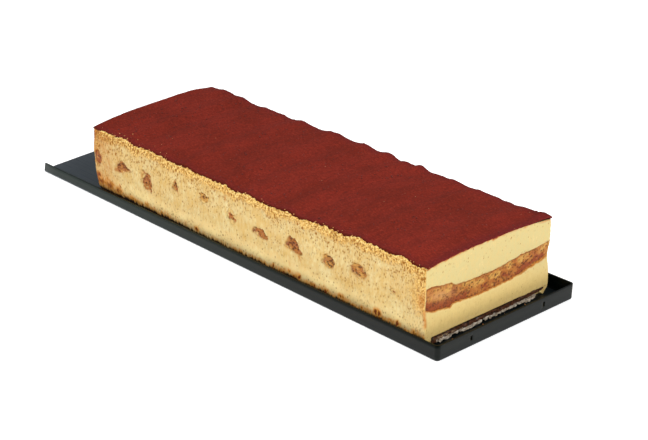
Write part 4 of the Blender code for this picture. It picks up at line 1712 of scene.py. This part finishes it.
@dataclass
class ServingTray:
    """The shallow black tray: rims on three sides, open at one end, two slots in the other.

    Attributes are millimetres.
    """

    length: float = 407.4
    width: float = 124.8
    wall: float = 1.1
    rim_high: float = 10.8
    rim_low: float = 7.45
    lean: float = 0.3
    end_slant: float = 2.0
    skew: float = 6.5
    open_edge: tuple[tuple[float, float], ...] = ((3.9, 12.0), (1.3, 46.0))
    bend: float = 1.4
    corner: float = 3.0
    slot: tuple[float, float] = (1.8, 3.4)
    slot_place: tuple[float, float] = (33.0, 6.2)
    bend_steps: int = 8
    corner_steps: int = 12
    wall_steps: int = 3
    long_steps: int = 24
    end_steps: int = 48
    edge_round: float = 0.3

    def profile(self, height: float) -> list[tuple[float, float]]:
        """(outward, up) from the floor's edge, round the bend, to the rim's top."""
        points = []
        for step in range(self.bend_steps + 1):
            angle = 0.5 * math.pi * step / self.bend_steps
            out = self.bend * (math.sin(angle) - 1.0) - self.lean
            points.append((out, self.bend * (1.0 - math.cos(angle))))
        foot_out, foot_up = points[-1]
        top_out = -self.lean * (1.0 - height / self.rim_high)
        for step in range(1, self.wall_steps + 1):
            share = step / self.wall_steps
            points.append(
                (foot_out + (top_out - foot_out) * share, foot_up + (height - foot_up) * share)
            )
        return points

    def stations(self) -> list[tuple[float, float, tuple[float, float]]]:
        """(x, y, outward normal) along the three rimmed sides, from the open end."""
        end, side, round_by = self.length / 2, self.width / 2, self.corner
        shares = [k / self.long_steps for k in range(self.long_steps)]
        front_start = self.skew - end
        found = [(front_start + (end - round_by - front_start) * k, -side, (0.0, -1.0)) for k in shares]
        for turn, corner_y in ((0, -side + round_by), (1, side - round_by)):
            for step in range(self.corner_steps + 1):
                angle = 0.5 * math.pi * (step / self.corner_steps - 1.0 + turn)
                way = (math.cos(angle), math.sin(angle))
                found.append((end - round_by + round_by * way[0], corner_y + round_by * way[1], way))
            if turn == 0:
                span = 2.0 * (side - round_by)
                found += [
                    (end, corner_y + span * k / self.end_steps, (1.0, 0.0))
                    for k in range(1, self.end_steps)
                ]
        return found + [((2 * end - round_by) * k - end, side, (0.0, 1.0)) for k in reversed(shares)]

    def make(self, finish: bpy.types.Material) -> None:
        """Builds the tray."""
        skin = bmesh.new()
        rows = []
        stations = self.stations()
        for number, (x, y, way) in enumerate(stations):
            height = self.rim_low + (self.rim_high - self.rim_low) * (x / self.length + 0.5)
            open_end = number in (0, len(stations) - 1)
            row = []
            for out, up in self.profile(height):
                slant = self.end_slant * up / height if open_end else 0.0
                place = Vector((x + way[0] * out + slant, y + way[1] * out, up)) * MM
                row.append(skin.verts.new(place))
            rows.append(row)
        for near, far in zip(rows, rows[1:]):
            for level in range(len(near) - 1):
                skin.faces.new((near[level], far[level], far[level + 1], near[level + 1]))
        floor = [row[0] for row in rows]
        near_end = self.long_steps + self.corner_steps - 1
        open_edge = [
            skin.verts.new(Vector((short - self.length / 2, across - self.width / 2, 0.0)) * MM)
            for short, across in self.open_edge
        ]
        skin.faces.new([floor[0], *open_edge, floor[-1], floor[-2], floor[1]])
        for k in range(1, near_end):
            skin.faces.new((floor[k], floor[-1 - k], floor[-2 - k], floor[k + 1]))
        skin.faces.new(floor[near_end : len(floor) - near_end])
        bmesh.ops.recalc_face_normals(skin, faces=skin.faces)
        piece = release(skin, "serving_tray")

        wall = piece.modifiers.new("wall", "SOLIDIFY")
        wall.thickness = self.wall * MM
        wall.offset = -1.0
        wall.use_even_offset = True
        cutters = []
        for side in (-1, 1):
            cutter = self.slot_cutter(side)
            cutters.append(cutter)
            cut = piece.modifiers.new("slot", "BOOLEAN")
            cut.operation = "DIFFERENCE"
            cut.solver = "EXACT"
            cut.object = cutter
        softened = piece.modifiers.new("soft_edges", "BEVEL")
        softened.width = self.edge_round * MM
        softened.segments = 3
        softened.limit_method = "ANGLE"
        softened.angle_limit = math.radians(40)
        settle(piece)
        for cutter in cutters:
            bpy.data.objects.remove(cutter)
        piece.data.shade_smooth()
        piece.data.set_sharp_from_angle(angle=math.radians(35))
        hand_over(piece, finish, ["tray"])

    def slot_cutter(self, side: int) -> bpy.types.Object:
        """A block that cuts one slot, side being -1 or 1."""
        block = bmesh.new()
        bmesh.ops.create_cube(block, size=MM)
        bmesh.ops.scale(block, vec=(6.0 * self.wall, *self.slot), verts=block.verts)
        place = Vector((self.length / 2 - self.wall, side * self.slot_place[0], self.slot_place[1]))
        bmesh.ops.translate(block, vec=place * MM, verts=block.verts)
        return release(block, "slot_cutter")


def settle(piece: bpy.types.Object) -> None:
    """Turns a piece and its modifiers into a plain mesh."""
    graph = bpy.context.evaluated_depsgraph_get()
    mesh = bpy.data.meshes.new_from_object(piece.evaluated_get(graph), depsgraph=graph)
    piece.modifiers.clear()
    piece.data = mesh


# --- Finishes -----------------------------------------------------------------------------


@dataclass(frozen=True)
class CreamFinish:
    """Mascarpone cream: pored and stained on the long sides, smooth at the knife cuts, with painted light
    near the foot, a painted shadow line along it, and painted shade and highlight on the crumbs.
    """

    pale: Colour = (221, 205, 150)
    warm: Colour = (212, 176, 104)
    cut_high: Colour = (197, 180, 122)
    # Painted light: the lighter colour of the cut faces near the foot.
    cut_low: Colour = (230, 200, 128)
    # Painted shade between the crumbs of the torn edge, and painted highlight on their tips.
    crumb_gap: Colour = (122, 68, 2)
    crumb: Colour = (208, 156, 70)
    crumb_tip: Colour = (236, 206, 130)
    pore: Colour = (150, 94, 6)
    # Painted light: the lighter colour of the long sides near the foot.
    lit: Colour = (255, 230, 162)
    stain: Colour = (184, 112, 34)
    # Painted light: the lighter stain colour near the foot.
    lit_stain: Colour = (232, 154, 56)
    deep_stain: Colour = (124, 52, 12)
    speck: Colour = (128, 104, 66)
    # Painted shadow: near-black colour for the line along the foot over the tray's rim.
    foot: Colour = (34, 20, 10)

    def build(self) -> bpy.types.Material:
        """Makes the material."""
        paint = Paint("cream", specular=0.3)
        pore, crumb, lump = paint.mark("pore"), paint.mark("crumb"), paint.mark("lump")
        stain, cut, low = paint.mark("stain"), paint.mark("cut"), paint.mark("low")
        streak, soaked, lift = paint.mark("streak"), paint.mark("soaked"), paint.mark("lift")
        cloud = paint.noise(14.0, detail=3.0)
        mottle = paint.noise(1.6, detail=2.0, stretch=(1.0, 1.0, 2.2))
        fine = paint.noise(0.55, detail=1.0)

        patchy = cloud * 0.6 + mottle * 0.6 + fine * 0.25
        rough_side = paint.blend(patchy.between(0.5, 0.95), self.pale, self.warm)
        # Painted light: the cut faces turn lighter towards the foot (mark low).
        smooth_cut = paint.blend((low + cloud * 0.3).between(0.1, 1.1), self.cut_high, self.cut_low)
        smooth_cut = paint.blend((mottle * 0.6 + fine * 0.4).between(0.42, 0.68) * 0.4, smooth_cut, self.warm)
        pale_cut = (cloud * 0.3 + mottle * 0.4 + fine * 0.3).between(0.55, 0.7)
        smooth_cut = paint.blend(pale_cut * 0.4, smooth_cut, self.pale)
        thin = paint.noise(3.2, detail=4.0, roughness=0.7).between(0.5, 0.75)
        smooth_cut = paint.blend(thin * 0.3, smooth_cut, self.warm)
        rough_side = paint.blend(streak.between(0.45, 0.9) * 0.5, rough_side, self.warm)
        # Painted light near the foot (mark lift).
        rough_side = paint.blend(lift * (0.55 + mottle * 0.55), rough_side, self.lit)
        colour = paint.blend(cut, rough_side, smooth_cut)
        # Painted shade in the gaps between crumbs, painted highlight on the crumbs' tops.
        grains = paint.blend((lump + fine * 0.4).between(0.05, 0.5), self.crumb_gap, self.crumb)
        grains = paint.blend((lump * 1.2 + fine * 0.5).between(0.5, 1.15), grains, self.crumb_tip)
        colour = paint.blend((crumb * (0.65 + mottle * 0.9)).clamped(), colour, grains)

        near, own = paint.specks(2.1, stretch=(1.0, 1.0, 1.35))
        dot = near.between(0.32, 0.14) * own.between(0.5, 0.62) * (1.0 - cut)
        small, small_own = paint.specks(1.15, stretch=(1.0, 1.0, 1.6))
        pin = small.between(0.36, 0.14) * small_own.between(0.5, 0.72) * (1.0 - cut * 0.55)
        # Painted light: stains near the foot take the lighter stain colour.
        stained = paint.blend(lift, self.stain, self.lit_stain)
        colour = paint.blend(stain.between(0.08, 0.75) * (0.55 + mottle * 0.8), colour, stained)
        colour = paint.blend((stain + mottle * 0.5 - 0.1).between(0.75, 1.15), colour, self.deep_stain)
        shade = (pore * 1.1 + dot * 0.65 + pin * 0.6 * (0.3 + crumb)).clamped()
        colour = paint.blend(shade, colour, self.pore)
        # Painted shadow along the foot (mark soaked).
        colour = paint.blend(soaked, colour, self.foot)
        grey, grey_own = paint.specks(3.6)
        fleck = grey.between(0.13, 0.07) * grey_own.between(0.45, 0.55) * cut
        colour = paint.blend(fleck * 0.75, colour, self.speck)

        height = mottle * 0.3 + fine * 0.3 + streak * 0.2 - dot * 0.7 - pin * 0.4
        relief = paint.bump(height * (1.0 - cut * 0.6), 0.35)
        rough = 0.62 - cut * 0.12 + fine * 0.12
        paint.shader.inputs["Subsurface Weight"].default_value = 0.12
        paint.shader.inputs["Subsurface Radius"].default_value = (1.0, 0.7, 0.35)
        paint.shader.inputs["Subsurface Scale"].default_value = 1.2 * MM
        return paint.done(Base_Color=colour, Roughness=rough, Normal=relief)


@dataclass(frozen=True)
class LadyfingerFinish:
    """Soaked sponge: golden to red-brown, dark in its pores and along its rind."""

    golden: Colour = (198, 146, 66)
    brown: Colour = (170, 102, 34)
    red: Colour = (140, 62, 12)
    pale: Colour = (196, 144, 84)
    rind: Colour = (116, 60, 20)
    pore: Colour = (78, 38, 12)
    amber: Colour = (206, 138, 44)
    cream: Colour = (218, 184, 114)

    def build(self) -> bpy.types.Material:
        """Makes the material."""
        paint = Paint("soaked_ladyfinger", specular=0.35)
        tone, rim, pore = paint.mark("tone"), paint.mark("rim"), paint.mark("pore")
        pale, amber, veil = paint.mark("pale"), paint.mark("amber"), paint.mark("veil")
        mottle = paint.noise(2.6, detail=3.0, roughness=0.6)
        fine = paint.noise(0.7, detail=2.0)
        mixed = tone + mottle * 0.5 - 0.25
        colour = paint.blend(mixed.between(0.1, 0.55), self.golden, self.brown)
        colour = paint.blend(mixed.between(0.55, 0.95), colour, self.red)
        colour = paint.blend(pale * (0.6 + fine * 0.6), colour, self.pale)
        colour = paint.blend(amber, colour, self.amber)
        colour = paint.blend(rim * (0.35 + mottle * 0.8) * (1.0 - amber), colour, self.rind)
        near, own = paint.specks(1.2)
        pin = near.between(0.38, 0.18) * own.between(0.4, 0.55)
        colour = paint.blend((pore * 0.85 + pin * 0.55).clamped(), colour, self.pore)
        colour = paint.blend((veil * (0.6 + fine * 0.7)).clamped(), colour, self.cream)
        relief = paint.bump(fine * 0.5 + mottle * 0.3 - pin * 0.5, 0.4)
        return paint.done(Base_Color=colour, Roughness=0.5 + fine * 0.25, Normal=relief)


@dataclass(frozen=True)
class CocoaFinish:
    """Cocoa powder: matt red-brown, a little more purple along the edges, with painted shade and highlight in
    its grain, painted shade in the fold and a painted shadow along the front edge.
    """

    red: Colour = (126, 38, 26)
    brown: Colour = (115, 34, 21)
    purple: Colour = (106, 30, 31)
    shadow: Colour = (76, 24, 18)
    # Painted highlight on the powder's grains.
    bloom: Colour = (156, 64, 46)
    # Painted shadow along the front edge.
    damp: Colour = (78, 24, 4)
    fleck: Colour = (206, 150, 112)

    def build(self) -> bpy.types.Material:
        """Makes the material."""
        paint = Paint("cocoa_powder", specular=0.12)
        near_edge, crease, brink = paint.mark("near_edge"), paint.mark("crease"), paint.mark("brink")
        cloud = paint.noise(30.0, detail=3.0)
        drift = paint.noise(5.0, detail=3.0, stretch=(0.6, 2.4, 1.0))
        fine = paint.noise(0.8, detail=2.0, roughness=0.7)
        colour = paint.blend(cloud.between(0.35, 0.65), self.red, self.brown)
        colour = paint.blend(near_edge * (0.25 + drift * 0.9), colour, self.purple)
        # Painted shade in the drifts.
        colour = paint.blend((drift * 0.6 + fine * 0.6).between(0.7, 0.35) * 0.45, colour, self.shadow)
        grit = paint.noise(1.1, detail=2.0, stretch=(1.8, 0.7, 1.0))
        # Painted shade between the grains, painted highlight on them.
        colour = paint.blend((grit + fine * 0.5).between(0.85, 0.5) * 0.45, colour, self.shadow)
        colour = paint.blend((grit + fine * 0.4).between(0.72, 1.0) * 0.35, colour, self.bloom)
        # Painted shade in the crease of the fold at the back corner.
        colour = paint.blend(crease * (0.4 + fine * 0.6), colour, self.shadow)
        # Painted shadow along the front edge, in the dip between the cocoa and the cream's crumbs.
        colour = paint.blend(brink * (0.45 + drift * 0.7), colour, self.damp)
        near, own = paint.specks(7.0)
        fleck = near.between(0.055, 0.03) * own.between(0.72, 0.76)
        colour = paint.blend(fleck * 0.6, colour, self.fleck)
        relief = paint.bump(fine * 0.6 + drift * 0.4, 0.5)
        return paint.done(Base_Color=colour, Roughness=0.92 + fine * 0.06, Normal=relief)


@dataclass(frozen=True)
class CrumbFinish:
    """Dry crumbs of cream, some dusted with cocoa."""

    pale: Colour = (216, 158, 98)
    warm: Colour = (172, 100, 54)

    def build(self) -> bpy.types.Material:
        """Makes the material."""
        paint = Paint("cream_crumb")
        patch = paint.noise(1.4, detail=2.0)
        fine = paint.noise(0.3, detail=1.0)
        colour = paint.blend((patch + fine * 0.3).between(0.45, 0.85), self.pale, self.warm)
        return paint.done(Base_Color=colour, Roughness=0.8 + fine * 0.1, Normal=paint.bump(fine, 0.1))


@dataclass(frozen=True)
class ClumpFinish:
    """Clumped cocoa, a little darker than the dusting."""

    red: Colour = (120, 40, 28)
    dark: Colour = (88, 28, 20)

    def build(self) -> bpy.types.Material:
        """Makes the material."""
        paint = Paint("cocoa_clump")
        patch = paint.noise(1.2, detail=2.0)
        fine = paint.noise(0.3, detail=1.0)
        colour = paint.blend(patch.between(0.35, 0.65), self.red, self.dark)
        return paint.done(Base_Color=colour, Roughness=0.9 + fine * 0.05, Normal=paint.bump(fine, 0.1))


@dataclass(frozen=True)
class ChocolateFinish:
    """Dark chocolate, cracked by the knife, with a thin painted highlight line."""

    dark: Colour = (38, 22, 12)
    brown: Colour = (82, 44, 20)
    caramel: Colour = (196, 168, 128)

    def build(self) -> bpy.types.Material:
        """Makes the material."""
        paint = Paint("chocolate")
        lump, glint = paint.mark("lump"), paint.mark("caramel")
        mottle = paint.noise(2.0, detail=3.0)
        colour = paint.blend((mottle + lump * 0.3).between(0.45, 0.85), self.dark, self.brown)
        # Painted highlight line.
        colour = paint.blend(glint, colour, self.caramel)
        relief = paint.bump(mottle, 0.4)
        return paint.done(Base_Color=colour, Roughness=0.36 + mottle * 0.25, Normal=relief)


@dataclass(frozen=True)
class BiscuitFinish:
    """Pale dry biscuit that breaks into crumbs."""

    pale: Colour = (218, 206, 188)
    tan: Colour = (170, 150, 122)
    pore: Colour = (70, 54, 38)

    def build(self) -> bpy.types.Material:
        """Makes the material."""
        paint = Paint("pale_biscuit")
        lump, pore = paint.mark("lump"), paint.mark("pore")
        mottle = paint.noise(1.3, detail=3.0, roughness=0.6)
        colour = paint.blend((mottle + lump * 0.3).between(0.4, 0.9), self.tan, self.pale)
        colour = paint.blend(pore * 0.55, colour, self.pore)
        relief = paint.bump(mottle, 0.4)
        return paint.done(Base_Color=colour, Roughness=0.85 + mottle * 0.1, Normal=relief)


@dataclass(frozen=True)
class TrayFinish:
    """Glossy black plastic with a faint grain and a few fine rubs, painted lighter towards the open end, with
    a painted reflection on its floor there and a painted shade line along the front rim's top.
    """

    black: Colour = (4, 9, 6)
    # Painted light: the plastic's colour towards the open end, where more light falls.
    open_end: Colour = (15, 29, 23)
    worn: Colour = (24, 32, 30)
    # Painted reflection: the bluish grey of the floor, most at the open end.
    floor: Colour = (50, 58, 65)
    floor_level: tuple[float, float] = (1.8, 1.3)
    roughness: float = 0.26
    rim_rise: float = 0.0082
    rim_middle: float = 9.1

    def build(self) -> bpy.types.Material:
        """Makes the material."""
        paint = Paint("tray_plastic", specular=0.15)
        cloud = paint.noise(22.0, detail=4.0)
        grain = paint.noise(0.5, detail=1.0)
        rubs = paint.noise(2.0, detail=2.0, stretch=(14.0, 0.5, 1.0))
        split = paint.node("ShaderNodeSeparateXYZ", None, paint.stretched((1.0, 1.0, 1.0)))
        along, across, up = split.outputs
        along, height, front = Value(paint, along), Value(paint, up), Value(paint, across)
        # Painted light: lighter towards the open end.
        colour = paint.blend(along.between(150.0, -180.0), self.black, self.open_end)
        colour = paint.blend(rubs.between(0.6, 0.75) * 0.5, colour, self.worn)
        # Painted reflection of the bright room on the floor, strongest towards the open end.
        floor = height.between(*self.floor_level) * (0.15 + along.between(-60.0, -175.0) * 0.85)
        colour = paint.blend(floor, colour, self.floor)
        rough = self.roughness + cloud * 0.1 + rubs.between(0.55, 0.8) * 0.15
        relief = paint.bump(grain * 0.4 + cloud * 0.6, 0.05)
        # Painted shade: the top of the front rim is made metallic over its black, so that it shows as a dark
        # line along the cream's foot.
        under_rim = height - along * self.rim_rise - self.rim_middle
        shaded = under_rim.between(-2.6, -0.7) * front.between(-59.0, -61.0)
        return paint.done(Base_Color=colour, Roughness=rough, Metallic=shaded * 0.8, Normal=relief)


@dataclass(frozen=True)
class FloorFinish:
    """Pale, even studio floor."""

    pale: Colour = (250, 250, 250)
    light: Colour = (255, 255, 255)

    def build(self) -> bpy.types.Material:
        """Makes the material."""
        paint = Paint("studio_floor")
        cloud = paint.noise(400.0, detail=1.0)
        colour = paint.blend(cloud, self.pale, self.light)
        paint.shader.inputs["Emission Strength"].default_value = 0.45
        return paint.done(Base_Color=colour, Roughness=0.9, Emission_Color=colour)


# --- Studio -------------------------------------------------------------------------------


@dataclass
class Studio:
    """Floor, soft lights and camera, in metres and degrees.

    Attributes:
        target: where the camera looks.
        azimuth: how far round the camera stands, 0 looking along +Y and 90 along -X.
        elevation: its angle over the horizon.
        distance: from the target.
        lens: focal length for a sensor as wide as `sensor`, both in millimetres.
        lit_point: where the lights point.
        boxes: name, place, size and watts of each soft box.
        room: how brightly the room itself shines.
    """

    target: tuple[float, float, float] = (0.03950, -0.00090, 0.0200)
    azimuth: float = 47.05
    elevation: float = 24.16
    distance: float = 1.21805
    lens: float = 101.5
    sensor: float = 36.0
    floor_size: float = 12.0
    lit_point: tuple[float, float, float] = (0.0, 0.0, 0.02)
    boxes: tuple[tuple[str, tuple[float, float, float], float, float], ...] = (
        ("key", (-0.5, -1.3, 1.5), 1.1, 20.0),
        ("side", (1.5, -0.2, 1.0), 0.9, 20.0),
        ("over", (0.0, 0.2, 1.8), 1.4, 8.0),
    )
    room: float = 0.3

    def make_camera(self) -> None:
        """Places the camera."""
        turn, rise = math.radians(self.azimuth), math.radians(self.elevation)
        back = Vector((math.sin(turn) * math.cos(rise), -math.cos(turn) * math.cos(rise), math.sin(rise)))
        data = bpy.data.cameras.new("camera")
        data.lens = self.lens
        data.sensor_width = self.sensor
        data.clip_start, data.clip_end = 0.05, 50.0
        camera = place_object("camera", data)
        camera.location = Vector(self.target) + back * self.distance
        camera.rotation_mode = "QUATERNION"
        camera.rotation_quaternion = (-back).to_track_quat("-Z", "Y")
        bpy.context.scene.camera = camera

    def make_floor(self, finish: bpy.types.Material) -> None:
        """Lays the floor under the tray."""
        sheet = bmesh.new()
        bmesh.ops.create_grid(sheet, x_segments=4, y_segments=4, size=self.floor_size / 2)
        floor = release(sheet, "floor")
        floor.data.materials.append(finish)

    def make_lights(self) -> None:
        """Hangs soft boxes round the object and lights the room evenly."""
        for name, place, size, power in self.boxes:
            data = bpy.data.lights.new(name, "AREA")
            data.shape = "SQUARE"
            data.size = size
            data.energy = power
            lamp = place_object(name, data)
            lamp.location = place
            lamp.rotation_mode = "QUATERNION"
            lamp.rotation_quaternion = (Vector(self.lit_point) - lamp.location).to_track_quat("-Z", "Y")
        world = bpy.data.worlds.new("room")
        world.use_nodes = True
        backdrop = world.node_tree.nodes["Background"]
        backdrop.inputs["Color"].default_value = (1.0, 1.0, 1.0, 1.0)
        backdrop.inputs["Strength"].default_value = self.room
        bpy.context.scene.world = world
        bpy.context.scene.view_settings.view_transform = "Standard"


def main() -> None:
    """Builds the whole object and the studio round it."""
    logging.basicConfig(level=logging.INFO, format="%(name)s: %(message)s")
    bar = Bar()
    walk = Walk(bar)
    fingers = Fingers(bar)
    creams = Creams(bar, walk, fingers)

    cream = CreamFinish().build()
    hand_over(creams.make_lower(), cream, ["lower_cream"])
    hand_over(creams.make_upper(), cream, ["upper_cream"])
    LadyfingerLayer(fingers, creams).make(LadyfingerFinish().build())
    CocoaTop(bar).make(CocoaFinish().build())
    base = BiscuitBase(bar)
    base.make_chocolate(ChocolateFinish().build())
    base.make_biscuit(BiscuitFinish().build())
    ServingTray().make(TrayFinish().build())
    LooseBits(bar).make(CrumbFinish().build(), ClumpFinish().build())

    studio = Studio()
    studio.make_camera()
    studio.make_floor(FloorFinish().build())
    studio.make_lights()


if __name__ == "__main__":
    main()
